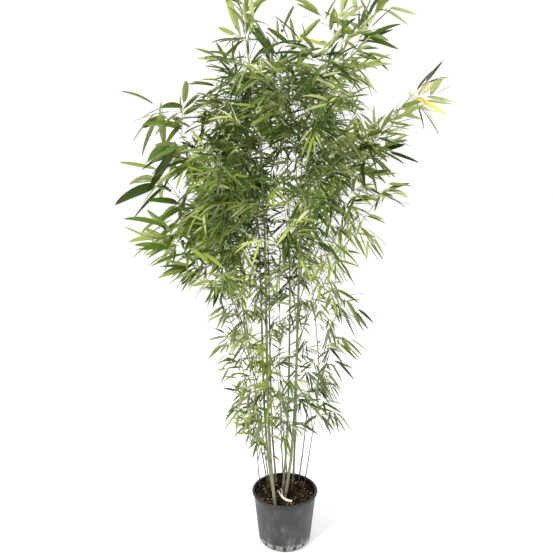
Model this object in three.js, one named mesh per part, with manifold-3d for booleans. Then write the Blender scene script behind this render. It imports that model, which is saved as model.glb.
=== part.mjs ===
// A potted bamboo about 2.3 m tall: a clump of thirteen slender culms in a nursery pot.
// Millimetres, +Z up, +Y to the back. The origin is the middle of the pot's flat underside.
import * as THREE from "three";
import { mergeVertices } from "three/addons/utils/BufferGeometryUtils.js";
import Module from "manifold-3d";

const wasm = await Module();
wasm.setup();

// ---- Driving dimensions ----

// The pot is a moulded shell with a rolled lip, a chamfered foot and drainage slots in it.
const POT = {
  height: 234,
  lipRadius: 140,
  lipHeight: 12,
  wallTopRadius: 133,
  wallFootRadius: 111,
  footRadius: 99,
  chamferHeight: 13,
  thickness: 2.6,
  slots: 8,
  slotWidth: 18,
  slotDepth: 26,
  slotHeight: 9,
  segments: 32,
};
const SOIL_TOP = 218;
const CLEARANCE = 0.3; // between solids that touch on the real plant

// The pale shoot of a rhizome that arches out of the soil between the two front culms.
const SHOOT = {
  from: [-26, -50, 34],
  bend: [-12, -72, 4],
  to: [30, -80, 3],
  radius: 4.8,
  endRadius: 1.6,
  thickest: 0.75, // how far along it is thickest
  steps: 8,
};

// A culm rises out of the soil, leans out quickly, then stands nearly upright, and its tip
// arches over. girth is its thickness above the flare of its foot.
const LEAN_HEIGHT = 260; // the lean is two thirds done at this height above the soil
const ARCH_POWER = 6; // the arch grows with this power of the height, so it stays in the tip
const FLARE = 0.12; // how much thicker the foot is at the soil
const FLARE_HEIGHT = 22;
const CULM_SIDES = 5;
const RING_SPACING = 200; // between a culm's sections above its flare
const CULM_TAPER = 0.7; // share of its girth that a culm loses on its way to the tip
const TAPER_POWER = 1.5; // the taper grows with this power of the height

// The tall culms carry the crown and the thin ones the foliage round the foot of the clump.
const CULMS = [
  { name: "left_front", foot: [-40, -104], girth: 12.5, top: 1930, lean: [-36, 38], arch: [-55, -10] },
  { name: "left_middle", foot: [-52, 10], girth: 10, top: 1720, lean: [-46, 14], arch: [-60, 30] },
  { name: "left_back", foot: [-38, 82], girth: 9, top: 1620, lean: [-30, 24], arch: [-30, 80] },
  { name: "right_front", foot: [0, -48], girth: 12, top: 1850, lean: [50, -34], arch: [80, -60] },
  { name: "right_middle", foot: [-10, -8], girth: 9.5, top: 1800, lean: [30, 8], arch: [-30, -10] },
  { name: "right_back", foot: [36, 84], girth: 9.5, top: 1700, lean: [16, 30], arch: [60, 60] },
  { name: "thin_left", foot: [-76, 80], girth: 5.5, top: 1040, lean: [-66, 36], arch: [-80, 30] },
  { name: "thin_left_inner", foot: [-64, 44], girth: 5.5, top: 860, lean: [-50, -30], arch: [-30, -50] },
  { name: "far_left", foot: [-108, 42], girth: 5, top: 660, lean: [-26, -10], arch: [-30, -20] },
  { name: "middle_back", foot: [-6, 100], girth: 6, top: 960, lean: [-20, 60], arch: [0, 60] },
  { name: "middle_front", foot: [16, 34], girth: 6, top: 640, lean: [-30, -60], arch: [-10, -80] },
  { name: "thin_right", foot: [58, 70], girth: 6, top: 860, lean: [44, -40], arch: [60, -60] },
  { name: "far_right", foot: [84, 60], girth: 5, top: 660, lean: [56, 8], arch: [20, -20] },
];

// How far the crown reaches from the middle of the clump to the left and to the right, at
// heights above the ground: narrow round the foot, widest above the middle.
const CROWN = [
  { height: 450, left: 180, right: 240 },
  { height: 900, left: 270, right: 300 },
  { height: 1100, left: 340, right: 320 },
  { height: 1320, left: 540, right: 420 },
  { height: 1500, left: 610, right: 520 },
  { height: 1850, left: 570, right: 630 },
  { height: 2000, left: 380, right: 480 },
  { height: 2200, left: 260, right: 430 },
];
const CROWN_DEPTH = 0.85; // how far it reaches to the front and back, as a share of the sides

// Branches leave the culms and end at a height on the crown's outline, seen from above at an
// angle in degrees (0 to the right, 90 to the back). The main ones start with a bough.
const BOUGHS = [
  { name: "left_low", height: 1330, angle: 196 },
  { name: "left_middle", height: 1560, angle: 172 },
  { name: "left_high", height: 1800, angle: 188 },
  { name: "right_low", height: 1460, angle: -14 },
  { name: "right_middle", height: 1860, angle: 4 },
  { name: "right_high", height: 2120, angle: -4 },
  { name: "back_left", height: 1500, angle: 122 },
  { name: "back_right", height: 1650, angle: 58 },
  { name: "front", height: 1480, angle: 272 },
];
const BOUGH_SHARE = 0.5; // share of a branch that is its bough
const BOUGH_RADIUS = 2.5;
const BOUGH_END_RADIUS = 1.5;
const BOUGH_STEPS = 4;
// The rest are sprays straight from the culms, turning round the clump as they rise. They
// stand closer together higher up, and stop short of the crown's outline.
const SPRAYS = {
  count: 13,
  lowest: 560,
  highest: 1930,
  crowding: 0.75,
  reach: 0.8,
  firstAngle: 205,
  turn: 137.5,
  nudge: 20, // turned on by this much as long as its stem would touch another limb
};
const TIP_SPRAY = 210; // length of the stem of a spray on a culm's tip
const BRANCH_SLOPE = 1.15; // how far a branch climbs, as a share of its level reach
const BRANCH_BOW = 0.09; // how far it bows up on its way, as a share of its length
const HIGHEST_START = 1760; // no branch leaves its culm above this
const CULM_ABOVE = 60; // a culm that bears a branch goes on at least this far above it
const CROWN_MIDDLE = [-20, 0];
const STEM_END = 110; // a stem ends this far inside its reach, and its leaves fill the rest

// Leaves are small low down and large in the crown.
const LEAF_LENGTH = { low: 115, high: 185 };
const LEAVES_GROW_BETWEEN = [900, 1350]; // heights between which they go from small to large
const LEAF_SLIMNESS = 4.2; // length over width
const LEAF_THICKNESS = 0.013; // share of its length, at the thickest
const LEAF_WIDEST = 0.36; // where a leaf is widest, as a share of its length
const LEAF_SINK = 0.3; // how far a leaf's root lies behind the middle of its twig
const STEM_RADIUS = 2.8;
const STEM_END_RADIUS = 2.2;
const TWIG_RADIUS = 0.95;
const TWIG_END_RADIUS = 0.85;
const ROOT_SHARE = 0.25; // share of a leaf near its root that may lie close to its neighbours
const OWN_CLEARANCE = 0.55; // share of their half widths that leaves of one spray stay apart
const TWIGS = 4; // side twigs on a spray's stem
const FIRST_TWIG = { onBough: 0.06, onCulm: 0.16 }; // how far along the stem the first one is
const LAST_TWIG = 0.85;
const TWIG_SIDES = 3;
const TWIG_LEAVES = 5;
const STEM_LEAVES = 7; // at the end of the stem itself
const FIRST_LEAF_KEY = 20; // sets the chances of leaves apart from those of twigs
const SPRAY_WIDTH = 0.62; // how far a spray spreads from its stem, as a share of its length
const STEM_STEPS = 4;

const UP = new THREE.Vector3(0, 0, 1);
const RIGHT = new THREE.Vector3(1, 0, 0);

// ---- Materials ----

const finish = (color, roughness) =>
  new THREE.MeshStandardMaterial({ color, roughness, metalness: 0 });
const FINISHES = {
  pot: finish(0x55595a, 0.6),
  soil: finish(0x2e241c, 0.95),
  shoot: finish(0xe8d8b4, 0.6),
  culm: finish(0x76843f, 0.45),
  bough: finish(0x6f8038, 0.5),
  leaves: finish(0x6b8f35, 0.5),
};

// ---- Chance: the same numbers every time, one for each set of keys ----

function chance(...keys) {
  let mix = 2166136261;
  for (const key of keys) {
    mix = Math.imul(mix ^ key, 16777619) >>> 0;
    mix = Math.imul(mix ^ (mix >>> 15), 2246822519) >>> 0;
  }
  return ((mix ^ (mix >>> 13)) >>> 0) / 4294967296;
}
const spread = (middle, range, ...keys) => middle + range * (2 * chance(...keys) - 1);

// ---- Geometry helpers ----

const along = (from, direction, distance) => from.clone().addScaledVector(direction, distance);
const radians = THREE.MathUtils.degToRad;

// A unit vector across a direction, level where it can be, rolled about the direction.
function across(direction, roll) {
  const level = new THREE.Vector3().crossVectors(direction, UP);
  if (level.length() < 0.05) level.copy(RIGHT);
  return level.normalize().applyAxisAngle(direction, roll);
}

// Two ways to lay out a tube's sections: a culm's stand square to the ground's axes, and a
// twig's are rolled so that the leaves on either hand leave it through its flat sides.
function upright(heading) {
  const turn = new THREE.Quaternion().setFromUnitVectors(UP, heading);
  return [RIGHT.clone().applyQuaternion(turn), new THREE.Vector3(0, 1, 0).applyQuaternion(turn)];
}
const rolled = (roll) => (heading) => {
  const side = across(heading, roll);
  return [new THREE.Vector3().crossVectors(heading, side), side.negate()];
};

// A closed tube with flat ends through the points, as thick at each as the radii say.
// A level start keeps its first section parallel to the ground.
function tube(points, radii, sides, layout, levelStart = false) {
  const position = [];
  const index = [];
  points.forEach((point, ring) => {
    const before = points[Math.max(ring - 1, 0)];
    const after = points[Math.min(ring + 1, points.length - 1)];
    const heading = levelStart && ring === 0 ? UP : after.clone().sub(before).normalize();
    const [first, second] = layout(heading);
    for (let side = 0; side < sides; side++) {
      const angle = (2 * Math.PI * side) / sides;
      const corner = along(point, first, radii[ring] * Math.cos(angle));
      position.push(...along(corner, second, radii[ring] * Math.sin(angle)).toArray());
      if (ring === 0) continue;
      const next = (side + 1) % sides;
      const low = (ring - 1) * sides;
      const high = ring * sides;
      index.push(low + side, low + next, high + next, low + side, high + next, high + side);
    }
  });
  const last = (points.length - 1) * sides;
  for (let side = 1; side < sides - 1; side++) {
    index.push(0, side + 1, side, last, last + side, last + side + 1);
  }
  return closed(position, index);
}

function closed(position, index) {
  const geometry = new THREE.BufferGeometry();
  geometry.setAttribute("position", new THREE.Float32BufferAttribute(position, 3));
  geometry.setIndex(index);
  return geometry;
}

// A leaf of eight faces: a long flat diamond whose root is sunk in its twig.
function leafShape({ from, heading, side, length }, extra = 0) {
  const middle = along(from, heading, LEAF_WIDEST * length);
  const face = new THREE.Vector3().crossVectors(heading, side);
  const halfWidth = length / LEAF_SLIMNESS / 2 + extra;
  const halfThickness = (length * LEAF_THICKNESS) / 2 + extra;
  const corners = [
    along(from, heading, -LEAF_SINK),
    along(from, heading, length),
    along(middle, side, halfWidth),
    along(middle, face, halfThickness),
    along(middle, side, -halfWidth),
    along(middle, face, -halfThickness),
  ];
  const index = [];
  for (let edge = 0; edge < 4; edge++) {
    const a = 2 + edge;
    const b = 2 + ((edge + 1) % 4);
    index.push(0, b, a, 1, a, b);
  }
  return closed(corners.flatMap((corner) => corner.toArray()), index);
}

function solid(geometry) {
  const bare = geometry.clone();
  bare.deleteAttribute("normal");
  bare.deleteAttribute("uv");
  const merged = mergeVertices(bare);
  return new wasm.Manifold(
    new wasm.Mesh({
      numProp: 3,
      vertProperties: merged.attributes.position.array,
      triVerts: Uint32Array.from(merged.index.array),
    }),
  );
}

function geometryOf(body) {
  const { vertProperties, triVerts } = body.getMesh();
  return closed(Array.from(vertProperties), Array.from(triVerts));
}

// The largest body of a solid: loose scraps fall away, and a sealed hollow is filled.
function largest(body) {
  const bodies = body.decompose();
  return bodies.reduce((best, one) => (one.volume() > best.volume() ? one : best));
}

const plant = new THREE.Group();
function add(name, geometry, material) {
  const mesh = new THREE.Mesh(geometry, material);
  mesh.name = name;
  plant.add(mesh);
}

// ---- Pot, soil and shoot ----

function turnedProfile(outline) {
  const points = outline.map(([radius, height]) => new THREE.Vector2(radius, height));
  return new THREE.LatheGeometry(points, POT.segments).rotateX(Math.PI / 2);
}

// The wall's outer radius at a height above the chamfer.
function wallRadius(height) {
  const share = (height - POT.chamferHeight) / (POT.height - POT.lipHeight - POT.chamferHeight);
  return THREE.MathUtils.lerp(POT.wallFootRadius, POT.wallTopRadius, share);
}

function makePot() {
  const { height, lipRadius, lipHeight, footRadius, chamferHeight, thickness } = POT;
  const lipFoot = height - lipHeight;
  const lipRound = 2.5;
  const shell = turnedProfile([
    [0, 0],
    [footRadius, 0],
    [wallRadius(chamferHeight), chamferHeight],
    [wallRadius(lipFoot), lipFoot],
    [lipRadius, lipFoot + lipRound],
    [lipRadius, height - lipRound],
    [lipRadius - lipRound, height],
    [wallRadius(height) - thickness, height],
    [wallRadius(chamferHeight) - thickness, chamferHeight + thickness / 2],
    [footRadius - thickness / 2, thickness],
    [0, thickness],
  ]);
  let body = solid(shell);
  for (let slot = 0; slot < POT.slots; slot++) {
    const bite = new THREE.BoxGeometry(POT.slotDepth, POT.slotWidth, 2 * POT.slotHeight);
    bite.translate(wallRadius(chamferHeight), 0, 0);
    bite.rotateZ((2 * Math.PI * slot) / POT.slots);
    body = body.subtract(solid(bite));
  }
  add("pot", geometryOf(body), FINISHES.pot);
}

function makeSoil() {
  const { footRadius, chamferHeight, thickness } = POT;
  const gap = 2 * CLEARANCE;
  const inner = (height) => wallRadius(height) - thickness - gap;
  const soil = turnedProfile([
    [0, thickness + CLEARANCE],
    [footRadius - thickness / 2 - gap, thickness + CLEARANCE],
    [inner(chamferHeight), chamferHeight + thickness / 2 + CLEARANCE],
    [inner(SOIL_TOP), SOIL_TOP],
    [0, SOIL_TOP],
  ]);
  add("potting_soil", geometryOf(solid(soil)), FINISHES.soil);
}

function makeShoot() {
  const onSoil = ([x, y, rise]) => new THREE.Vector3(x, y, SOIL_TOP + CLEARANCE + rise);
  const [from, bend, to] = [SHOOT.from, SHOOT.bend, SHOOT.to].map(onSoil);
  const points = new THREE.QuadraticBezierCurve3(from, bend, to).getPoints(SHOOT.steps);
  const radii = points.map((_, step) => {
    const bulge = Math.sin(((Math.PI / 2) * step) / SHOOT.steps / SHOOT.thickest);
    return THREE.MathUtils.lerp(SHOOT.endRadius, SHOOT.radius, bulge);
  });
  points.forEach((point, step) => {
    point.z = Math.max(point.z, SOIL_TOP + CLEARANCE + radii[step]);
  });
  add("rhizome_shoot", tube(points, radii, 6, upright), FINISHES.shoot);
}

// ---- Culms and boughs ----

// What is in the way of a twig or a leaf: straight lengths with a radius, each with its owner,
// and the solid itself where that length is a leaf.
const taken = [];
function take(owner, points, radii, body) {
  for (let i = 1; i < points.length; i++) {
    const radius = Math.max(radii[i - 1], radii[i]);
    taken.push({ owner, line: new THREE.Line3(points[i - 1], points[i]), radius, body });
  }
}
const nearest = new THREE.Vector3();
const nearestOther = new THREE.Vector3();
// True where nothing of another owner is near, or where both are flat leaves that pass each other.
function isClear(owners, from, to, radius, body) {
  const line = new THREE.Line3(from, to);
  return taken.every((other) => {
    if (owners.includes(other.owner)) return true;
    const room = radius + other.radius + CLEARANCE;
    if (line.distanceSqToLine3(other.line, nearest, nearestOther) > room * room) return true;
    return Boolean(body && other.body) && body.intersect(other.body).isEmpty();
  });
}

function culmPoint(culm, height) {
  const lean = 1 - Math.exp(-height / LEAN_HEIGHT);
  const arch = (height / (culm.top - SOIL_TOP)) ** ARCH_POWER;
  return new THREE.Vector3(
    culm.foot[0] + culm.lean[0] * lean + culm.arch[0] * arch,
    culm.foot[1] + culm.lean[1] * lean + culm.arch[1] * arch,
    SOIL_TOP + CLEARANCE + height,
  );
}

function culmRadius(culm, height) {
  const taper = 1 - CULM_TAPER * (height / (culm.top - SOIL_TOP)) ** TAPER_POWER;
  return (culm.girth / 2) * taper * (1 + FLARE * Math.exp(-height / FLARE_HEIGHT));
}

// A culm's rings stand close together in the flare of its foot and evenly above it.
function culmRings(culm) {
  const length = culm.top - SOIL_TOP;
  const rings = Math.round(length / RING_SPACING);
  const even = Array.from({ length: rings }, (_, ring) => (length * (ring + 1)) / rings);
  return [0, FLARE_HEIGHT, 2 * FLARE_HEIGHT, ...even];
}

// The tube of a limb, thickened by `extra` on every side.
const limbTube = (limb, extra) =>
  tube(limb.points, limb.radii.map((radius) => radius + extra), CULM_SIDES, upright, limb.levelStart);
// A limb fattened so that what is cut by it stays clear of its flat sides.
const fattened = (limb) => solid(limbTube(limb, CLEARANCE / Math.cos(Math.PI / CULM_SIDES)));

const culms = new Map();
for (const culm of CULMS) {
  const rings = culmRings(culm);
  const limb = {
    ...culm,
    points: rings.map((height) => culmPoint(culm, height)),
    radii: rings.map((height) => culmRadius(culm, height)),
    levelStart: true,
  };
  culms.set(culm.name, limb);
  take(limb.name, limb.points, limb.radii);
  add(`culm_${culm.name}`, limbTube(limb, 0), FINISHES.culm);
}

// ---- Branches: each runs from a culm to the crown's outline, or on from a culm's tip ----

function crownReach(height, angle) {
  const above = Math.max(1, CROWN.findIndex((station) => station.height >= height));
  const [low, high] = [CROWN[above - 1], CROWN[above]];
  const share = THREE.MathUtils.clamp((height - low.height) / (high.height - low.height), 0, 1);
  const left = THREE.MathUtils.lerp(low.left, high.left, share);
  const right = THREE.MathUtils.lerp(low.right, high.right, share);
  const level = THREE.MathUtils.lerp(left, right, (1 + Math.cos(angle)) / 2);
  return level * THREE.MathUtils.lerp(1, CROWN_DEPTH, Math.abs(Math.sin(angle)));
}

// Points along a branch that bows up between its ends, from one share of it to another.
function bowed(branch, from, to, steps) {
  const span = branch.end.clone().sub(branch.start);
  return Array.from({ length: steps + 1 }, (_, step) => {
    const share = THREE.MathUtils.lerp(from, to, step / steps);
    const rise = BRANCH_BOW * span.length() * 4 * share * (1 - share);
    return along(branch.start, span, share).addScaledVector(UP, rise);
  });
}

// The point of a culm's axis, straight between its rings, at a height above the ground.
function axisPoint(culm, height) {
  const above = culm.points.findIndex((point) => point.z >= height);
  const [low, high] = [culm.points[above - 1], culm.points[above]];
  return low.clone().lerp(high, (height - low.z) / (high.z - low.z));
}

// The culm that stands furthest out on a side, of those that are tall enough there.
function outermost(height, outwards) {
  const standing = [...culms.values()].filter((culm) => culm.top > height + CULM_ABOVE);
  const reach = (culm) => axisPoint(culm, height).dot(outwards);
  return standing.reduce((best, culm) => (reach(culm) > reach(best) ? culm : best));
}

// A branch that ends at a share of the way to the crown's outline.
function branchTo(height, angle, reachShare) {
  const outwards = new THREE.Vector3(Math.cos(angle), Math.sin(angle), 0);
  const reach = crownReach(height, angle);
  const startHeight = Math.min(height - BRANCH_SLOPE * reach, HIGHEST_START);
  const culm = outermost(startHeight, outwards);
  const middle = new THREE.Vector3(...CROWN_MIDDLE, height);
  return {
    limb: culm,
    start: axisPoint(culm, startHeight),
    end: along(middle, outwards, reachShare * reach - STEM_END),
  };
}

const branches = [];
function addBranch(name, limb, stem, cutClear) {
  const radii = stem.map((_, step) =>
    THREE.MathUtils.lerp(STEM_RADIUS, STEM_END_RADIUS, step / STEM_STEPS),
  );
  const key = branches.length + 1;
  branches.push({ name: `foliage_${name}`, limb, key, points: stem, radii, cutClear });
  take(`foliage_${name}`, stem, radii);
}

// Only the first length of a bough or stem is near the limb that it grows from.
function touches(limb, points, radius) {
  return points.slice(1).some((point, step) => {
    const owners = step === 0 ? [limb.name] : [];
    return !isClear(owners, points[step], point, radius);
  });
}

function requireClear(name, limb, points, radius) {
  if (touches(limb, points, radius)) throw new Error(`${name} touches another limb`);
}

for (const bough of BOUGHS) {
  const branch = branchTo(bough.height, radians(bough.angle), 1);
  const points = bowed(branch, 0, BOUGH_SHARE, BOUGH_STEPS);
  const radii = points.map((_, step) =>
    THREE.MathUtils.lerp(BOUGH_RADIUS, BOUGH_END_RADIUS, step / BOUGH_STEPS),
  );
  const limb = { name: `bough_${bough.name}`, points, radii };
  requireClear(limb.name, branch.limb, points, BOUGH_RADIUS);
  take(limb.name, points, radii);
  const body = largest(solid(limbTube(limb, 0)).subtract(fattened(branch.limb)));
  add(limb.name, geometryOf(body), FINISHES.bough);

  const from = BOUGH_SHARE + CLEARANCE / branch.end.distanceTo(branch.start);
  const stem = bowed(branch, from, 1, STEM_STEPS);
  requireClear(`the spray of ${limb.name}`, limb, stem, STEM_RADIUS);
  addBranch(limb.name, limb, stem, false);
}

for (const culm of culms.values()) {
  const tip = culm.points.at(-1);
  const heading = tip.clone().sub(culm.points.at(-2)).normalize();
  const start = along(tip, heading, CLEARANCE);
  const stem = bowed({ start, end: along(start, heading, TIP_SPRAY) }, 0, 1, STEM_STEPS);
  requireClear(`the spray of ${culm.name}`, culm, stem, STEM_RADIUS);
  addBranch(`${culm.name}_tip`, culm, stem, false);
}

for (let turn = 0; turn < SPRAYS.count; turn++) {
  const rise = (turn / (SPRAYS.count - 1)) ** SPRAYS.crowding;
  const height = THREE.MathUtils.lerp(SPRAYS.lowest, SPRAYS.highest, rise);
  let angle = radians(SPRAYS.firstAngle + SPRAYS.turn * turn);
  let branch = branchTo(height, angle, SPRAYS.reach);
  let stem = bowed(branch, 0, 1, STEM_STEPS);
  while (touches(branch.limb, stem, STEM_RADIUS)) {
    angle += radians(SPRAYS.nudge);
    branch = branchTo(height, angle, SPRAYS.reach);
    stem = bowed(branch, 0, 1, STEM_STEPS);
  }
  addBranch(`spray_${turn + 1}`, branch.limb, stem, true);
}

// ---- Foliage: each branch's twigs and leaves ----

// Every chance of the foliage has a number of its own.
const CHANCE = {
  splay: 2,
  droop: 3,
  tilt: 4,
  length: 5,
  twigTurn: 11,
  twigSplay: 12,
  twigLength: 13,
  twigRoll: 14,
};

function leafLengthAt(height) {
  const share = THREE.MathUtils.smoothstep(height, ...LEAVES_GROW_BETWEEN);
  return THREE.MathUtils.lerp(LEAF_LENGTH.low, LEAF_LENGTH.high, share);
}

// A point on a stem, straight between its sections, and the distance between the stem's ends.
function stemPoint({ points }, share) {
  const place = share * STEM_STEPS;
  const step = Math.min(Math.floor(place), STEM_STEPS - 1);
  return points[step].clone().lerp(points[step + 1], place - step);
}
const stemLength = ({ points }) => points[0].distanceTo(points.at(-1));

// The side twigs of a stem, on either hand by turns.
function sideTwigs(branch) {
  const twigs = [];
  const first = branch.cutClear ? FIRST_TWIG.onCulm : FIRST_TWIG.onBough;
  for (let twig = 0; twig < TWIGS; twig++) {
    const chanceOf = (middle, range, what) => spread(middle, range, branch.key, twig, what);
    const share = THREE.MathUtils.lerp(first, LAST_TWIG, twig / (TWIGS - 1));
    const from = stemPoint(branch, share);
    const heading = stemPoint(branch, share + 0.05).sub(from).normalize();
    const hand = twig % 2 ? 1 : -1;
    const side = across(heading, radians(chanceOf(0, 40, CHANCE.twigTurn)));
    const splay = radians(chanceOf(50, 12, CHANCE.twigSplay));
    heading.multiplyScalar(Math.cos(splay)).addScaledVector(side, hand * Math.sin(splay)).normalize();
    const reach = stemLength(branch) * chanceOf(0.45 - 0.2 * share, 0.05, CHANCE.twigLength);
    const roll = radians(chanceOf(0, 50, CHANCE.twigRoll));
    twigs.push({ from, to: along(from, heading, reach), roll, leaves: TWIG_LEAVES });
  }
  return twigs;
}

// The leaves of a twig: one carries on from its end and the others stand off it by turns.
function twigLeaves(branch, twig, key) {
  const leaves = [];
  const heading = twig.to.clone().sub(twig.from).normalize();
  const side = across(heading, twig.roll);
  const leafLength = leafLengthAt(twig.to.z);
  for (let leaf = 0; leaf < twig.leaves; leaf++) {
    const chanceOf = (middle, range, what) => spread(middle, range, branch.key, key, leaf, what);
    const hand = leaf % 2 ? 1 : -1;
    const back = leaf === 0 ? 0 : 0.1 + (0.7 * (leaf - 1)) / twig.leaves;
    const turned = leaf === 0 ? chanceOf(0, 8, CHANCE.splay) : hand * chanceOf(44, 12, CHANCE.splay);
    const splay = radians(turned);
    const direction = heading.clone().multiplyScalar(Math.cos(splay)).addScaledVector(side, Math.sin(splay));
    direction.addScaledVector(UP, -chanceOf(0.35, 0.45, CHANCE.droop)).normalize();
    leaves.push({
      from: twig.to.clone().lerp(twig.from, back).addScaledVector(heading, -0.4),
      heading: direction,
      side: across(direction, radians(chanceOf(0, 80, CHANCE.tilt))),
      length: leafLength * chanceOf(0.92, 0.18, CHANCE.length),
    });
  }
  return leaves;
}

// A spray keeps to its own space. A twig or leaf that would leave that space, or touch anything
// of another limb or spray, is skipped, and so is one that would cross another of its own spray.
function makeSpray(branch) {
  const { name, limb, points, radii } = branch;
  const room = SPRAY_WIDTH * stemLength(branch) + LEAF_LENGTH.high;
  const stemLine = new THREE.Line3(points[0], points.at(-1));
  const placed = [];
  const shapes = [solid(tube(points, radii, TWIG_SIDES, rolled(0)))];

  function place(own, from, to, radius, body) {
    if (stemLine.closestPointToPoint(to, true, nearest).distanceTo(to) > room) return false;
    if (!isClear(own, from, to, radius, body)) return false;
    const free = new THREE.Line3(from.clone().lerp(to, ROOT_SHARE), to);
    const crosses = placed.some((other) => {
      const apart = OWN_CLEARANCE * (radius + other.radius);
      return free.distanceSqToLine3(other.free, nearest, nearestOther) < apart * apart;
    });
    if (!crosses) placed.push({ from, to, radius, free, body });
    return !crosses;
  }

  const growing = [{ from: points.at(-2), to: points.at(-1), roll: 0, leaves: STEM_LEAVES }];
  for (const twig of sideTwigs(branch)) {
    if (!place([name, limb.name], twig.from, twig.to, TWIG_RADIUS)) continue;
    const ends = [TWIG_RADIUS, TWIG_END_RADIUS];
    shapes.push(solid(tube([twig.from, twig.to], ends, TWIG_SIDES, rolled(twig.roll))));
    growing.push(twig);
  }
  growing.forEach((twig, index) => {
    for (const leaf of twigLeaves(branch, twig, FIRST_LEAF_KEY + index)) {
      const halfWidth = leaf.length / LEAF_SLIMNESS / 2;
      const tip = along(leaf.from, leaf.heading, leaf.length);
      const swollen = solid(leafShape(leaf, 2 * CLEARANCE));
      if (place([name], leaf.from, tip, halfWidth, swollen)) shapes.push(solid(leafShape(leaf)));
    }
  });
  for (const { from, to, radius, body } of placed) take(name, [from, to], [radius, radius], body);

  const joined = wasm.Manifold.union(shapes);
  const clear = branch.cutClear ? joined.subtract(fattened(limb)) : joined;
  add(name, geometryOf(largest(clear)), FINISHES.leaves);
}

makePot();
makeSoil();
makeShoot();
branches.forEach(makeSpray);

export default plant;
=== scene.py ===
# %% [markdown]
# A potted bamboo, dressed in Blender.
#
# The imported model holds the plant's solids: the pot with its soil, the culms, the main boughs
# and the masses of foliage. This lesson dresses them. The pot is spun with its rolled lip, the
# culms get their node rings, and each mass is replaced by the twigs and leaves of a real spray,
# which grow from the same stems by the same rule as the solids do.

# %% Load the frame
import math

import bmesh
import bpy
import numpy as np
from mathutils import Matrix, Quaternion, Vector, noise


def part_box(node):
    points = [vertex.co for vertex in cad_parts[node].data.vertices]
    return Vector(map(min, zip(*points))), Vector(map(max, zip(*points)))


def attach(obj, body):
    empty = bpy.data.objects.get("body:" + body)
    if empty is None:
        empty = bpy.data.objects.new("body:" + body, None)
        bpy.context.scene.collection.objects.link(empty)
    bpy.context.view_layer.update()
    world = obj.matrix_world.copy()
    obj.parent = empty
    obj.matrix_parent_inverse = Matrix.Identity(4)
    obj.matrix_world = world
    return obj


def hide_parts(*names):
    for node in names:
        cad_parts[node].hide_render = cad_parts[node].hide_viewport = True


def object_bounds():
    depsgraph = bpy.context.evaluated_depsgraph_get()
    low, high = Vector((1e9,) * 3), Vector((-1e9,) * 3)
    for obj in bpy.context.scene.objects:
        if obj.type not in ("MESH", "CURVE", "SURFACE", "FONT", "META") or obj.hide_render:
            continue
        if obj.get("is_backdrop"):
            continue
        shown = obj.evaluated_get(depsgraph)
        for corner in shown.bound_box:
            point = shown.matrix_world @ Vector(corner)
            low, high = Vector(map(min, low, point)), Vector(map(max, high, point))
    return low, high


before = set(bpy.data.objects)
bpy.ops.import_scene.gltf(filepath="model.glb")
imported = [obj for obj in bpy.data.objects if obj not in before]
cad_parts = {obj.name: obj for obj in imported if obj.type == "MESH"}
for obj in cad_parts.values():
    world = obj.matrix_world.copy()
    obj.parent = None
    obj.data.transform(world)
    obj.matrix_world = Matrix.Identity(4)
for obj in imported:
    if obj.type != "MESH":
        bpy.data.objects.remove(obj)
CAD_LOW, CAD_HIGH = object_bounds()
MM = 0.001
print("nodes:", len(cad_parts), "height:", round(CAD_HIGH.z, 3), "m")

# %% [markdown]
# The studio is a pale floor under a white sky, as a plant nursery's catalogue shows its stock. The
# sky lights the plant from all round, a large soft lamp at the upper left gives the leaves their
# shine, and a weaker one on the right fills their shade. The camera stands about as high as a
# person's eyes and looks a little down. Its place is worked out from the pot's round lip and foot.

# %% Camera, floor and light
CAMERA_PLACE = (0, -2.4, 1.635)
CAMERA_PITCH = 11.16  # degrees down
CAMERA_TURN = 0.85  # degrees to the left
CAMERA_LENS = 39.8  # mm, on the usual 36 mm sensor

scene = bpy.context.scene
camera_data = bpy.data.cameras.new("camera")
camera_data.lens = CAMERA_LENS
camera = bpy.data.objects.new("camera", camera_data)
camera.location = CAMERA_PLACE
camera.rotation_euler = (math.radians(90 - CAMERA_PITCH), 0, math.radians(CAMERA_TURN))
scene.collection.objects.link(camera)
scene.camera = camera
scene.view_settings.view_transform = "Standard"


def soft_lamp(name, place, target, size, power):
    data = bpy.data.lights.new(name, "AREA")
    data.energy = power
    data.size = size
    lamp = bpy.data.objects.new(name, data)
    lamp.location = place
    lamp.rotation_euler = (Vector(target) - Vector(place)).to_track_quat("-Z", "Y").to_euler()
    scene.collection.objects.link(lamp)


soft_lamp("key_light", (-2.2, -2.9, 3.9), (0, 0, 1.3), 1.1, 235)
soft_lamp("fill_light", (3.0, -2.2, 2.4), (0, 0, 1.2), 1.6, 65)

world = bpy.data.worlds.new("white_sky")
world.use_nodes = True
sky = world.node_tree.nodes["Background"]
sky.inputs["Color"].default_value = (1, 1, 1, 1)
sky.inputs["Strength"].default_value = 1.08
scene.world = world

FLOOR_SIZE = 60
floor_mesh = bpy.data.meshes.new("floor")
floor_bm = bmesh.new()
bmesh.ops.create_grid(floor_bm, x_segments=1, y_segments=1, size=FLOOR_SIZE / 2)
floor_bm.to_mesh(floor_mesh)
floor_bm.free()
floor = bpy.data.objects.new("floor", floor_mesh)
floor.location.z = -0.001
scene.collection.objects.link(floor)
floor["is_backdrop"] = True
print("camera at", CAMERA_PLACE, "lens", CAMERA_LENS, "mm")

# %% [markdown]
# Every finish starts from one shader, and its pattern is built from a few nodes. One function
# turns a hex colour to the linear numbers that the shader wants, one starts a finish, and one adds
# a node: an input is a number, or a node with the name of its output, which makes a link. Patterns
# read Object coordinates, which are metres here, so a noise scale of 1 / 0.006 has grains of about
# 6 mm.

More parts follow.
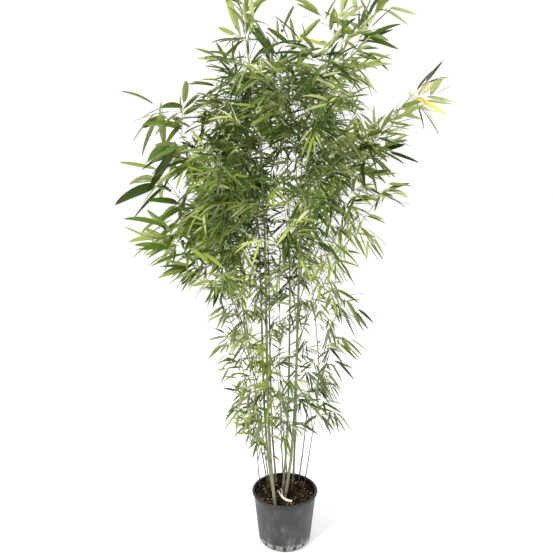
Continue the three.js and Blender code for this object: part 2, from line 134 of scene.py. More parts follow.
# %% Helpers for finishes
def linear(hex_colour):
    channels = [int(hex_colour[i : i + 2], 16) / 255 for i in (1, 3, 5)]
    return (*(c / 12.92 if c <= 0.04045 else ((c + 0.055) / 1.055) ** 2.4 for c in channels), 1)


def per_mm(size):
    """The scale of a pattern whose grains are this many millimetres wide."""
    return 1 / (size * MM)


def start_finish(name, colour, roughness, ior=1.5):
    finish = bpy.data.materials.new(name)
    finish.use_nodes = True
    shader = finish.node_tree.nodes["Principled BSDF"]
    shader.inputs["Base Color"].default_value = linear(colour)
    shader.inputs["Roughness"].default_value = roughness
    shader.inputs["IOR"].default_value = ior
    return finish, shader


def feed(finish, node, socket, value):
    """Sets an input to a number or a colour, or links it to (node, output)."""
    if isinstance(value, tuple) and isinstance(value[0], bpy.types.Node):
        finish.node_tree.links.new(value[0].outputs[value[1]], node.inputs[socket])
    else:
        node.inputs[socket].default_value = value


def add_node(finish, kind, inputs, stops=(), **properties):
    """Adds a node with its inputs and properties. Stops are a ramp's (position, hex colour)."""
    node = finish.node_tree.nodes.new(kind)
    for name, value in properties.items():
        setattr(node, name, value)
    for socket, value in inputs.items():
        feed(finish, node, socket, value)
    for number, (position, colour) in enumerate(stops):
        elements = node.color_ramp.elements
        element = elements[number] if number < len(elements) else elements.new(position)
        element.position = position
        element.color = linear(colour)
    return node


NOISE, MAPPING, RAMP = "ShaderNodeTexNoise", "ShaderNodeMapping", "ShaderNodeValToRGB"
MIX, RANGE, MATHS, BUMP = "ShaderNodeMix", "ShaderNodeMapRange", "ShaderNodeMath", "ShaderNodeBump"
PLACE, SPLIT, ATTRIBUTE = "ShaderNodeTexCoord", "ShaderNodeSeparateXYZ", "ShaderNodeAttribute"

# %% Floor paint
floor_paint, _ = start_finish("matt_white_floor_paint", "#f7f7f7", 0.9)
floor_mesh.materials.append(floor_paint)

# %% [markdown]
# The pot is injection-moulded polypropylene, charcoal when new. Sun, water and handling leave it
# dull, with pale lime blotches that run down the wall. The blotches are two noises multiplied, one
# of them stretched along the height. The lip is cleaner and darker. Round the foot the pads it
# stands on are scuffed pale, and the gaps between them hold dark soil: waves of the angle about
# the axis.

# %% Finish: weathered polypropylene
POT_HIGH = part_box("pot")[1]
POT_HEIGHT = POT_HIGH.z / MM
POT_RADIUS = POT_HIGH.x / MM
POT_LIP_HEIGHT = 12
POT_LIP_FOOT = POT_HEIGHT - POT_LIP_HEIGHT
POT_PADS = 16


def weathered_polypropylene():
    finish, shader = start_finish("weathered_charcoal_polypropylene", "#484a49", 0.5)
    place = add_node(finish, PLACE, {})
    tall = add_node(finish, MAPPING, {"Vector": (place, "Object"), "Scale": (1, 1, 0.55)})
    round_about, stretched = (place, "Object"), (tall, "Vector")
    streaks, bloom, grain, scuffs = [
        add_node(finish, NOISE, {"Vector": vector, "Scale": per_mm(size), "Detail": detail})
        for vector, size, detail in (
            (stretched, 30, 4), (round_about, 75, 3), (round_about, 2.5, 2), (stretched, 9, 4),
        )
    ]
    wear = add_node(finish, MATHS, {0: (streaks, "Fac"), 1: (bloom, "Fac")}, operation="MULTIPLY")
    wall = add_node(
        finish, RAMP, {"Fac": (wear, "Value")},
        [(0.13, "#161717"), (0.22, "#232625"), (0.31, "#333635"), (0.43, "#626463")],
    )
    height = add_node(finish, SPLIT, {"Vector": (place, "Object")})
    # Each of these fades in between two heights: the lip, the scuffed foot and the gaps' soil.
    lip, foot, low = [
        add_node(
            finish, RANGE, {"Value": (height, "Z"), "From Min": none * MM, "From Max": full * MM},
            interpolation_type="SMOOTHSTEP",
        )
        for none, full in ((POT_LIP_FOOT - 16, POT_LIP_FOOT), (50, 24), (34, 22))
    ]
    scuffed = add_node(finish, MATHS, {0: (foot, "Result"), 1: (scuffs, "Fac")}, operation="MULTIPLY")
    pale = add_node(
        finish, RANGE, {"Value": (scuffed, "Value"), "From Min": 0.3, "From Max": 0.62, "To Max": 0.8},
    )
    angle = add_node(finish, MATHS, {0: (height, "Y"), 1: (height, "X")}, operation="ARCTAN2")
    turns = add_node(finish, MATHS, {0: (angle, "Value"), 1: POT_PADS}, operation="MULTIPLY")
    wave = add_node(finish, MATHS, {0: (turns, "Value")}, operation="COSINE")
    ragged = add_node(finish, MATHS, {0: (wave, "Value"), 1: (scuffs, "Fac")}, operation="ADD")
    gap = add_node(finish, RANGE, {"Value": (ragged, "Value"), "From Min": 0.85, "From Max": 1.15})
    soiled = add_node(finish, MATHS, {0: (low, "Result"), 1: (gap, "Result")}, operation="MULTIPLY")
    colour = (wall, "Color")
    layers = (((lip, "Result"), "#0d0e0e"), ((pale, "Result"), "#94928c"), ((soiled, "Value"), "#141312"))
    for share, over in layers:
        mixed = add_node(finish, MIX, {0: share, 6: colour, 7: linear(over)}, data_type="RGBA")
        colour = (mixed, 2)
    dull = add_node(finish, RANGE, {"Value": (bloom, "Fac"), "To Min": 0.36, "To Max": 0.62})
    bump = add_node(finish, BUMP, {"Height": (grain, "Fac"), "Distance": 0.15 * MM})
    feed(finish, shader, "Base Color", colour)
    feed(finish, shader, "Roughness", (dull, "Result"))
    feed(finish, shader, "Normal", (bump, "Normal"))
    return finish


# %% [markdown]
# The pot is a body of revolution, so its wall is one outline spun round the axis. The outline has
# the chamfered foot, the slightly drafted wall and the lip, which is rolled outwards in a half
# round. The lip of a handled pot is never quite true, so it is dented a little after the spin. The
# drainage slots in the chamfer are cut by boxes with rounded edges.

# %% The pot
POT_WALL_TOP = 133
POT_WALL_FOOT = 111
POT_FOOT = 99
POT_CHAMFER = 13
POT_THICKNESS = 2.6
POT_SLOTS = 8
POT_SLOT_SIZE = (26, 18, 18)
POT_STEPS = 160
SHARP_ANGLE = 38  # degrees between two faces
DENTS_ABOVE = 190
DENTS = ((248, 26, 2.2), (305, 18, 1.6))  # angle and width in degrees, depth


def wall_radius(height):
    share = (height - POT_CHAMFER) / (POT_LIP_FOOT - POT_CHAMFER)
    return POT_WALL_FOOT + share * (POT_WALL_TOP - POT_WALL_FOOT)


def arc(centre, radius, start, end, steps):
    """Points (r, z) on an arc between two angles in degrees."""
    points = []
    for step in range(steps + 1):
        angle = math.radians(start + (end - start) * step / steps)
        points.append((centre[0] + radius * math.cos(angle), centre[1] + radius * math.sin(angle)))
    return points


def spin_outline(outline, steps):
    """A bmesh turned from an open outline of (r, z) points in millimetres."""
    bm = bmesh.new()
    verts = [bm.verts.new((r * MM, 0, z * MM)) for r, z in outline]
    edges = [bm.edges.new(pair) for pair in zip(verts, verts[1:])]
    bmesh.ops.spin(
        bm, geom=verts + edges, cent=(0, 0, 0), axis=(0, 0, 1),
        angle=2 * math.pi, steps=steps, use_merge=True,
    )
    bmesh.ops.remove_doubles(bm, verts=bm.verts, dist=0.00001)
    bmesh.ops.recalc_face_normals(bm, faces=bm.faces)
    return bm


def show(mesh, finishes, sharp=None):
    """Puts a mesh in the scene, smooth but for edges sharper than an angle in degrees."""
    for finish in finishes:
        mesh.materials.append(finish)
    if sharp:
        mesh.shade_smooth()
        mesh.set_sharp_from_angle(angle=math.radians(sharp))
    piece = bpy.data.objects.new(mesh.name, mesh)
    scene.collection.objects.link(piece)
    return piece


def put_in_order(bm):
    """Numbers everything by where it is, so that every run makes the same mesh."""
    def corners(item):
        return sorted(vert.index for vert in item.verts)

    for some, place in ((bm.verts, lambda vert: tuple(vert.co)), (bm.edges, corners), (bm.faces, corners)):
        ranks = {item: rank for rank, item in enumerate(sorted(some, key=place))}
        some.sort(key=ranks.get)
        some.index_update()


def new_piece(name, bm, finishes):
    put_in_order(bm)
    mesh = bpy.data.meshes.new(name)
    bm.to_mesh(mesh)
    bm.free()
    return show(mesh, finishes, SHARP_ANGLE)


def apply_modifiers(piece):
    graph = bpy.context.evaluated_depsgraph_get()
    mesh = bpy.data.meshes.new_from_object(piece.evaluated_get(graph))
    piece.modifiers.clear()
    piece.data = mesh


def pot_outline():
    lip_round = POT_LIP_HEIGHT / 2
    lip_centre = (POT_RADIUS - lip_round, POT_HEIGHT - lip_round)
    inner = POT_THICKNESS
    outline = [(0, 0), (POT_FOOT - 2, 0), (POT_FOOT, 0.8)]
    outline += [(POT_WALL_FOOT - 0.6, POT_CHAMFER - 0.8), (POT_WALL_FOOT, POT_CHAMFER + 0.6)]
    wall_levels = [30, 60, 90, 120, 150, 180, 205, POT_LIP_FOOT - 1]
    outline += [(wall_radius(level), level) for level in wall_levels]
    outline += arc(lip_centre, lip_round, -70, 150, 12)
    outline += [(wall_radius(level) - inner, level) for level in reversed(wall_levels)]
    outline += [(POT_WALL_FOOT - inner, POT_CHAMFER + inner / 2), (POT_FOOT - inner / 2, inner)]
    outline.append((0, inner))
    return outline


pot_bm = spin_outline(pot_outline(), POT_STEPS)
# Two shallow dents in the lip, where the pot was picked up.
for dent_angle, dent_width, depth in DENTS:
    for vert in pot_bm.verts:
        turn = math.degrees(math.atan2(vert.co.y, vert.co.x)) % 360
        near = max(0, 1 - abs(turn - dent_angle) / dent_width)
        high = max(0, (vert.co.z / MM - DENTS_ABOVE) / (POT_HEIGHT - DENTS_ABOVE))
        vert.co.z -= depth * MM * near * near * (3 - 2 * near) * high
pot = new_piece("nursery_pot", pot_bm, [weathered_polypropylene()])

cutter_bm = bmesh.new()
for slot in range(POT_SLOTS):
    turn = Matrix.Rotation(2 * math.pi * slot / POT_SLOTS, 4, "Z")
    place = turn @ Matrix.Translation((POT_WALL_FOOT * MM, 0, 0))
    size = Matrix.Diagonal((*(side * MM for side in POT_SLOT_SIZE), 1))
    bmesh.ops.create_cube(cutter_bm, size=1, matrix=place @ size)
bmesh.ops.bevel(
    cutter_bm, geom=cutter_bm.edges, offset=3 * MM, segments=3, profile=0.5,
    affect="EDGES", material=-1,
)
cutter = new_piece("slot_cutter", cutter_bm, [])
bite = pot.modifiers.new("slots", "BOOLEAN")
bite.object = cutter
bite.operation = "DIFFERENCE"
apply_modifiers(pot)
bpy.data.objects.remove(cutter)
pot.data.set_sharp_from_angle(angle=math.radians(SHARP_ANGLE))
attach(pot, "root")
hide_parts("pot")
print("pot:", len(pot.data.polygons), "faces, lip", 2 * POT_RADIUS, "mm across")

# %% [markdown]
# Potting mix is composted bark: nearly black crumbs with coarse chips on top, and here and there a
# pale one. The bulk is spun like the pot, with a crumbled top from noise. The chips are many, so
# one small block is repeated and joined: hundreds of copies, each turned, stretched and laid flat
# by a seeded draw.

# %% Finishes: potting mix and its chips
def mottled(name, colour, roughness, ior, grain, detail, stops, relief):
    """A finish whose colour and height follow one noise. Grain and relief are in millimetres."""
    finish, shader = start_finish(name, colour, roughness, ior)
    place = add_node(finish, PLACE, {})
    grains = add_node(
        finish, NOISE, {"Vector": (place, "Object"), "Scale": per_mm(grain), "Detail": detail},
    )
    colours = add_node(finish, RAMP, {"Fac": (grains, "Fac")}, stops)
    bump = add_node(finish, BUMP, {"Height": (grains, "Fac"), "Distance": relief * MM})
    feed(finish, shader, "Base Color", (colours, "Color"))
    feed(finish, shader, "Normal", (bump, "Normal"))
    return finish


BARK_STOPS = [(0.34, "#060403"), (0.55, "#17110c"), (0.75, "#2f241a")]
crumbled_bark = mottled("composted_bark_mix", "#1d1510", 0.95, 1.12, 4, 5, BARK_STOPS, 2.5)

# %% The soil and its chips
SOIL_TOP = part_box("potting_soil")[1].z / MM
SOIL_RINGS = 26
rng = np.random.default_rng(4)

soil_gap = POT_THICKNESS + 0.6
soil_outline = [(0, POT_THICKNESS + 0.3), (POT_FOOT - 2, POT_THICKNESS + 0.3)]
soil_outline += [(wall_radius(level) - soil_gap, level) for level in (16, 80, 150, SOIL_TOP - 6)]
soil_edge = wall_radius(SOIL_TOP) - soil_gap
soil_outline += [(soil_edge * (1 - step / SOIL_RINGS), SOIL_TOP - 3) for step in range(SOIL_RINGS + 1)]
soil_bm = spin_outline(soil_outline, 120)
for vert in soil_bm.verts:
    if vert.co.z / MM > SOIL_TOP - 4:
        lumps = noise.noise(vert.co * per_mm(22)) * 3 + noise.noise(vert.co * per_mm(7)) * 1.6
        vert.co.z += (lumps - 0.5) * MM
soil = new_piece("potting_mix", soil_bm, [crumbled_bark])
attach(soil, "root")
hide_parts("potting_soil")


def joined_copies(name, verts, faces, matrices, finishes):
    """One mesh of many copies of a small shape, each placed by its own 4 by 4 matrix."""
    verts = np.asarray(verts, float)
    matrices = np.asarray(matrices, float)
    placed = np.einsum("nij,vj->nvi", matrices[:, :3, :3], verts) + matrices[:, None, :3, 3]
    mesh = bpy.data.meshes.new(name)
    step = len(verts)
    all_faces = [[i + step * copy for i in face] for copy in range(len(matrices)) for face in faces]
    mesh.from_pydata(placed.reshape(-1, 3), [], all_faces)
    return show(mesh, finishes)


def chip_matrix(place, size):
    """Where a chip lies: spun about the upright, tipped a little, and stretched."""
    spin = Matrix.Rotation(rng.uniform(0, 2 * math.pi), 4, "Z")
    tip = Matrix.Rotation(rng.normal(0, 0.45), 4, "X") @ Matrix.Rotation(rng.normal(0, 0.3), 4, "Y")
    scale = Matrix.Diagonal((*size, 1))
    return Matrix.Translation(place) @ spin @ tip @ scale


CHIP_VERTS = [
    (-0.5, -0.35, -0.5), (0.45, -0.5, -0.5), (0.5, 0.4, -0.5), (-0.4, 0.5, -0.5),
    (-0.4, -0.3, 0.45), (0.3, -0.42, 0.5), (0.42, 0.3, 0.4), (-0.3, 0.38, 0.5),
]
CHIP_FACES = [
    (0, 3, 2, 1), (4, 5, 6, 7), (0, 1, 5, 4), (1, 2, 6, 5), (2, 3, 7, 6), (3, 0, 4, 7),
]


def scatter_chips(count, lengths, slim, flat):
    matrices = []
    for _ in range(count):
        away = (soil_edge - 7) * math.sqrt(rng.uniform(0, 1))
        turn = rng.uniform(0, 2 * math.pi)
        length = rng.uniform(*lengths)
        size = (length * MM, length * slim * rng.uniform(0.6, 1.3) * MM, length * flat * MM)
        spot = (away * math.cos(turn) * MM, away * math.sin(turn) * MM, (SOIL_TOP - 1.5) * MM)
        matrices.append(chip_matrix(spot, size))
    return matrices


CHIPS = (
    ("bark_chips", "dark_pine_bark", 760, (6, 17), 0.5, 0.3, "#0b0805", "#2a2016"),
    ("tan_chips", "split_pine_bark", 210, (6, 15), 0.34, 0.25, "#3d301f", "#857450"),
    ("pale_chips", "fresh_split_wood", 34, (3.5, 8), 0.45, 0.4, "#b3a583", "#efe8d6"),
)
for piece_name, finish_name, count, lengths, slim, flat, dark, light in CHIPS:
    split_wood = mottled(finish_name, light, 0.85, 1.15, 5, 3, [(0.36, dark), (0.64, light)], 0.4)
    matrices = scatter_chips(count, lengths, slim, flat)
    chips = joined_copies(piece_name, CHIP_VERTS, CHIP_FACES, matrices, [split_wood])
    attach(chips, "root")
print("soil top:", SOIL_TOP, "mm, chips:", sum(row[2] for row in CHIPS))

# %% [markdown]
# Bamboo sends up each culm from a rhizome in the soil. A culm is a hollow grass stem: straight
# lengths between rings called nodes, slightly thicker at each ring, with a pale waxy band below it
# and a brown scar where the sheath was. The foot of an old culm is dull grey and tan.
#
# The rule that places everything that grows is the one that the solids follow, so the same
# numbers are used here. All of it is in millimetres. A chance is a number between 0 and 1 that
# depends only on its keys, so it is the same every time and a twig's place never depends on how
# many others there are.

# %% The rule: chance and directions
UP = Vector((0, 0, 1))
RIGHT = Vector((1, 0, 0))
WORD = 0xFFFFFFFF


def chance(*keys):
    mix = 2166136261
    for key in keys:
        mix = ((mix ^ key) * 16777619) & WORD
        mix = ((mix ^ (mix >> 15)) * 2246822519) & WORD
    return (mix ^ (mix >> 13)) / 4294967296


def spread(middle, amount, *keys):
    return middle + amount * (2 * chance(*keys) - 1)


def mix(low, high, share):
    return low + (high - low) * share


def across(direction, roll):
    """A unit vector across a direction, level where it can be, rolled about the direction."""
    level = direction.cross(UP)
    if level.length < 0.05:
        level = RIGHT.copy()
    return Quaternion(direction, roll) @ level.normalized()


# %% The rule: culms
CLEARANCE = 0.3
LEAN_HEIGHT = 260
ARCH_POWER = 6
FLARE = 0.12
FLARE_HEIGHT = 22
RING_SPACING = 200
CULM_TAPER = 0.7
TAPER_POWER = 1.5
CULMS = {
    "left_front": dict(foot=(-40, -104), girth=12.5, top=1930, lean=(-36, 38), arch=(-55, -10)),
    "left_middle": dict(foot=(-52, 10), girth=10, top=1720, lean=(-46, 14), arch=(-60, 30)),
    "left_back": dict(foot=(-38, 82), girth=9, top=1620, lean=(-30, 24), arch=(-30, 80)),
    "right_front": dict(foot=(0, -48), girth=12, top=1850, lean=(50, -34), arch=(80, -60)),
    "right_middle": dict(foot=(-10, -8), girth=9.5, top=1800, lean=(30, 8), arch=(-30, -10)),
    "right_back": dict(foot=(36, 84), girth=9.5, top=1700, lean=(16, 30), arch=(60, 60)),
    "thin_left": dict(foot=(-76, 80), girth=5.5, top=1040, lean=(-66, 36), arch=(-80, 30)),
    "thin_left_inner": dict(foot=(-64, 44), girth=5.5, top=860, lean=(-50, -30), arch=(-30, -50)),
    "far_left": dict(foot=(-108, 42), girth=5, top=660, lean=(-26, -10), arch=(-30, -20)),
    "middle_back": dict(foot=(-6, 100), girth=6, top=960, lean=(-20, 60), arch=(0, 60)),
    "middle_front": dict(foot=(16, 34), girth=6, top=640, lean=(-30, -60), arch=(-10, -80)),
    "thin_right": dict(foot=(58, 70), girth=6, top=860, lean=(44, -40), arch=(60, -60)),
    "far_right": dict(foot=(84, 60), girth=5, top=660, lean=(56, 8), arch=(20, -20)),
}


def culm_point(culm, height):
    lean = 1 - math.exp(-height / LEAN_HEIGHT)
    arch = (height / (culm["top"] - SOIL_TOP)) ** ARCH_POWER
    x = culm["foot"][0] + culm["lean"][0] * lean + culm["arch"][0] * arch
    y = culm["foot"][1] + culm["lean"][1] * lean + culm["arch"][1] * arch
    return Vector((x, y, SOIL_TOP + CLEARANCE + height))


def culm_radius(culm, height):
    taper = 1 - CULM_TAPER * (height / (culm["top"] - SOIL_TOP)) ** TAPER_POWER
    return culm["girth"] / 2 * taper * (1 + FLARE * math.exp(-height / FLARE_HEIGHT))


def culm_rings(culm):
    length = culm["top"] - SOIL_TOP
    rings = round(length / RING_SPACING)
    return [0, FLARE_HEIGHT, 2 * FLARE_HEIGHT] + [length * (ring + 1) / rings for ring in range(rings)]


# What stands in the way: straight lengths, each with the names of its owner and its radius.
taken = {"owner": [], "start": [], "end": [], "radius": []}


def take(owner, points, radii):
    for low, high, *thick in zip(points, points[1:], radii, radii[1:]):
        taken["owner"].append(owner)
        taken["start"].append(tuple(low))
        taken["end"].append(tuple(high))
        taken["radius"].append(max(thick))


for name, culm in CULMS.items():
    culm["name"] = name
    culm["points"] = [culm_point(culm, height) for height in culm_rings(culm)]
    culm["radii"] = [culm_radius(culm, height) for height in culm_rings(culm)]
    take(name, culm["points"], culm["radii"])
    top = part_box(f"culm_{name}")[1].z
    print(f"culm {name}: top {top:.3f} m, the rule is {culm['points'][-1].z - top / MM:.1f} mm off")

# %% The rule: distance between straight lengths
def gaps_to(start, end, starts, ends):
    """The least distance from one straight length to each of many."""
    along, others = end - start, ends - starts
    apart = start - starts
    a, e = along @ along, (others * others).sum(1)
    b, c, f = others @ along, apart @ along, (others * apart).sum(1)
    slack = a * e - b * b
    share = np.clip(np.where(slack > 1e-9, (b * f - c * e) / np.maximum(slack, 1e-9), 0), 0, 1)
    other = (b * share + f) / e
    share = np.where(other < 0, np.clip(-c / a, 0, 1), np.where(other > 1, np.clip((b - c) / a, 0, 1), share))
    other = np.clip(other, 0, 1)
    return np.linalg.norm(apart + along * share[:, None] - others * other[:, None], axis=1)


def is_clear(owners, start, end, radius):
    others = np.array([owner not in owners for owner in taken["owner"]])
    starts, ends = np.array(taken["start"])[others], np.array(taken["end"])[others]
    room = radius + np.array(taken["radius"])[others] + CLEARANCE
    return bool((gaps_to(np.array(start), np.array(end), starts, ends) > room).all())


# %% The rule: branches
CROWN = [
    (450, 180, 240), (900, 270, 300), (1100, 340, 320), (1320, 540, 420),
    (1500, 610, 520), (1850, 570, 630), (2000, 380, 480), (2200, 260, 430),
]  # height, reach to the left, reach to the right
CROWN_DEPTH = 0.85
BOUGHS = {
    "left_low": (1330, 196), "left_middle": (1560, 172), "left_high": (1800, 188),
    "right_low": (1460, -14), "right_middle": (1860, 4), "right_high": (2120, -4),
    "back_left": (1500, 122), "back_right": (1650, 58), "front": (1480, 272),
}  # height and angle of the tip
BOUGH_SHARE = 0.5
BOUGH_RADIUS, BOUGH_END_RADIUS, BOUGH_STEPS = 2.5, 1.5, 4
SPRAYS = dict(
    count=13, lowest=560, highest=1930, crowding=0.75, reach=0.8,
    first_angle=205, turn=137.5, nudge=20,
)
TIP_SPRAY = 210
BRANCH_SLOPE = 1.15
BRANCH_BOW = 0.09
HIGHEST_START = 1760
CULM_ABOVE = 60
CROWN_MIDDLE = (-20, 0)
STEM_END = 110
STEM_RADIUS, STEM_END_RADIUS, STEM_STEPS = 2.8, 2.2, 4


def crown_reach(height, angle):
    above = next((i for i, station in enumerate(CROWN) if station[0] >= height), 0)
    low, high = CROWN[max(1, above) - 1], CROWN[max(1, above)]
    share = min(max((height - low[0]) / (high[0] - low[0]), 0), 1)
    left, right = mix(low[1], high[1], share), mix(low[2], high[2], share)
    level = mix(left, right, (1 + math.cos(angle)) / 2)
    return level * mix(1, CROWN_DEPTH, abs(math.sin(angle)))


def bowed_point(branch, share):
    span = branch["end"] - branch["start"]
    rise = BRANCH_BOW * span.length * 4 * share * (1 - share)
    return branch["start"] + span * share + UP * rise


def bowed(branch, first, last, steps):
    return [bowed_point(branch, mix(first, last, step / steps)) for step in range(steps + 1)]


def axis_point(culm, height):
    """A point on a culm's axis, straight between its rings, at a height above the ground."""
    above = next(i for i, point in enumerate(culm["points"]) if point.z >= height)
    low, high = culm["points"][above - 1], culm["points"][above]
    return low.lerp(high, (height - low.z) / (high.z - low.z))


def branch_to(height, angle, reach_share):
    outwards = Vector((math.cos(angle), math.sin(angle), 0))
    reach = crown_reach(height, angle)
    start_height = min(height - BRANCH_SLOPE * reach, HIGHEST_START)
    standing = [culm for culm in CULMS.values() if culm["top"] > start_height + CULM_ABOVE]
    culm = max(standing, key=lambda one: axis_point(one, start_height).dot(outwards))
    middle = Vector((*CROWN_MIDDLE, height))
    return dict(
        limb=culm["name"], start=axis_point(culm, start_height),
        end=middle + outwards * (reach_share * reach - STEM_END), first=0,
    )


def stem_touches(branch):
    points = bowed(branch, branch["first"], 1, STEM_STEPS)
    for step in range(STEM_STEPS):
        owners = [branch["limb"]] if step == 0 else []
        if not is_clear(owners, points[step], points[step + 1], STEM_RADIUS):
            return True
    return False


branches = []


def add_branch(name, kind, branch):
    branch.update(name=name, kind=kind, key=len(branches) + 1)
    branches.append(branch)
    radii = [mix(STEM_RADIUS, STEM_END_RADIUS, step / STEM_STEPS) for step in range(STEM_STEPS + 1)]
    take(name, bowed(branch, branch["first"], 1, STEM_STEPS), radii)


for name, (height, angle) in BOUGHS.items():
    branch = branch_to(height, math.radians(angle), 1)
    radii = [mix(BOUGH_RADIUS, BOUGH_END_RADIUS, step / BOUGH_STEPS) for step in range(BOUGH_STEPS + 1)]
    take(f"bough_{name}", bowed(branch, 0, BOUGH_SHARE, BOUGH_STEPS), radii)
    branch["first"] = BOUGH_SHARE + CLEARANCE / (branch["end"] - branch["start"]).length
    branch["culm"] = branch["limb"]
    branch["limb"] = f"bough_{name}"
    add_branch(f"foliage_bough_{name}", "outer", branch)

for name, culm in CULMS.items():
    tip, below = culm["points"][-1], culm["points"][-2]
    heading = (tip - below).normalized()
    start = tip + heading * CLEARANCE
    add_branch(
        f"foliage_{name}_tip", "tip", dict(limb=name, start=start, end=start + heading * TIP_SPRAY, first=0),
    )

for number in range(SPRAYS["count"]):
    rise = (number / (SPRAYS["count"] - 1)) ** SPRAYS["crowding"]
    height = mix(SPRAYS["lowest"], SPRAYS["highest"], rise)
    angle = math.radians(SPRAYS["first_angle"] + SPRAYS["turn"] * number)
    branch = branch_to(height, angle, SPRAYS["reach"])
    while stem_touches(branch):
        angle += math.radians(SPRAYS["nudge"])
        branch = branch_to(height, angle, SPRAYS["reach"])
    add_branch(f"foliage_spray_{number + 1}", "inner", branch)
print("branches:", len(branches), "lengths in the way:", len(taken["owner"]))

# %% [markdown]
# A stem's skin is smooth and a little glossy: a living culm is olive green under a thin bloom, and
# its foot is dull grey and tan. The finish reads the height for that, and an attribute on the mesh,
# the distance above the nearest node below, for the pale and brown bands at the nodes.

# %% Finish: culm skin
def culm_skin(name, young, shade, foot, foot_height):
    finish, shader = start_finish(name, young, 0.4)
    place = add_node(finish, PLACE, {})
    tall = add_node(finish, MAPPING, {"Vector": (place, "Object"), "Scale": (1, 1, 0.25)})
    flecks = add_node(finish, NOISE, {"Vector": (tall, "Vector"), "Scale": per_mm(14), "Detail": 3})
    green = add_node(finish, RAMP, {"Fac": (flecks, "Fac")}, [(0.36, shade), (0.64, young)])
    height = add_node(finish, SPLIT, {"Vector": (place, "Object")})
    old = add_node(
        finish, RANGE,
        {"Value": (height, "Z"), "From Min": foot_height * MM, "From Max": (SOIL_TOP + 10) * MM},
        interpolation_type="SMOOTHSTEP",
    )
    aged = add_node(
        finish, MIX, {0: (old, "Result"), 6: (green, "Color"), 7: linear(foot)}, data_type="RGBA",
    )
    above = add_node(finish, ATTRIBUTE, {}, attribute_name="above_node")
    bands = add_node(
        finish, RAMP, {"Fac": (above, "Fac")},
        [(0.0, "#e8e4d4"), (0.022, "#6b5a3c"), (0.05, "#3f3a22"), (0.08, "#ffffff")],
    )
    banded = add_node(
        finish, MIX, {0: 0.6, 6: (aged, 2), 7: (bands, "Color")}, data_type="RGBA", blend_type="MULTIPLY",
    )
    bump = add_node(finish, BUMP, {"Height": (flecks, "Fac"), "Distance": 0.1 * MM})
    feed(finish, shader, "Base Color", (banded, 2))
    feed(finish, shader, "Normal", (bump, "Normal"))
    return finish


thick_skin = culm_skin("waxy_culm_skin", "#656e3e", "#474f25", "#68674a", 700)
thin_skin = culm_skin("dull_thin_culm_skin", "#62683f", "#494d2c", "#4c4936", 800)
branch_skin = culm_skin("green_branch_skin", "#767f45", "#566034", "#767f45", 300)

# %% [markdown]
# A limb is a ring of edges that is extruded from point to point, and each new ring is turned to
# the way the limb runs there and scaled to its girth. At every node five rings stand close
# together and make the swelling with its groove. The alternative, a curve with a round bevel,
# can't carry an attribute for the bands.

# %% Limbs with nodes
LIMB_SIDES, BRANCH_SIDES, FORK_SIDES = 12, 8, 10
THICK_GIRTH = 7  # a culm thicker than this is one of the tall ones
NODE_PROFILE = ((-5, 1.0), (-1.6, 1.13), (-0.2, 1.05), (1.4, 1.14), (5, 1.0))  # distance, girth


def ring_place(point, heading, radius):
    turn = UP.rotation_difference(heading).to_matrix().to_4x4()
    return Matrix.Translation(point * MM) @ turn @ Matrix.Scale(radius * MM, 4)


def grow_limb(bm, sections, sides=LIMB_SIDES):
    """Extrudes a ring along sections of (point, heading, radius, distance above a node)."""
    layer = bm.verts.layers.float.get("above_node") or bm.verts.layers.float.new("above_node")
    place = ring_place(*sections[0][:3])
    ring = bmesh.ops.create_circle(bm, segments=sides, radius=1, cap_ends=False, matrix=place)["verts"]
    edges = list(dict.fromkeys(edge for vert in ring for edge in vert.link_edges))
    bmesh.ops.contextual_create(bm, geom=edges)
    for vert in ring:
        vert[layer] = sections[0][3]
    for point, heading, radius, above in sections[1:]:
        grown = bmesh.ops.extrude_edge_only(bm, edges=edges)["geom"]
        ring = [item for item in grown if isinstance(item, bmesh.types.BMVert)]
        edges = [item for item in grown if isinstance(item, bmesh.types.BMEdge)]
        goal = ring_place(point, heading, radius)
        bmesh.ops.transform(bm, matrix=goal @ place.inverted(), verts=ring)
        place = goal
        for vert in ring:
            vert[layer] = above
    bmesh.ops.contextual_create(bm, geom=edges)
    bmesh.ops.recalc_face_normals(bm, faces=bm.faces)


def limb_sections(path, length, radius_at, nodes):
    """Sections along a limb: path and radius_at take a distance, and nodes are distances."""
    stations = {0.0, length}
    for node in nodes:
        stations.update(node + offset for offset, _ in NODE_PROFILE if 0 < node + offset < length)
    stations.update(mix(low, high, 0.5) for low, high in zip(nodes, nodes[1:]))
    sections = []
    for station in sorted(stations):
        swelling = 1.0
        for node in nodes:
            for (low, thin), (high, thick) in zip(NODE_PROFILE, NODE_PROFILE[1:]):
                if low <= station - node <= high:
                    swelling = max(swelling, mix(thin, thick, (station - node - low) / (high - low)))
        below = max((node for node in nodes if node <= station + 6), default=-100)
        ahead, behind = min(station + 8, length), max(station - 8, 0)
        heading = (path(ahead) - path(behind)).normalized()
        sections.append((path(station), heading, radius_at(station) * swelling, abs(station - below) / 100))
    return sections


def node_places(length, first, widest, closest):
    """Nodes get closer together towards the tip."""
    places = [first]
    while places[-1] < length - closest:
        places.append(places[-1] + mix(widest, closest, places[-1] / length))
    return [place for place in places if place < length - 8]


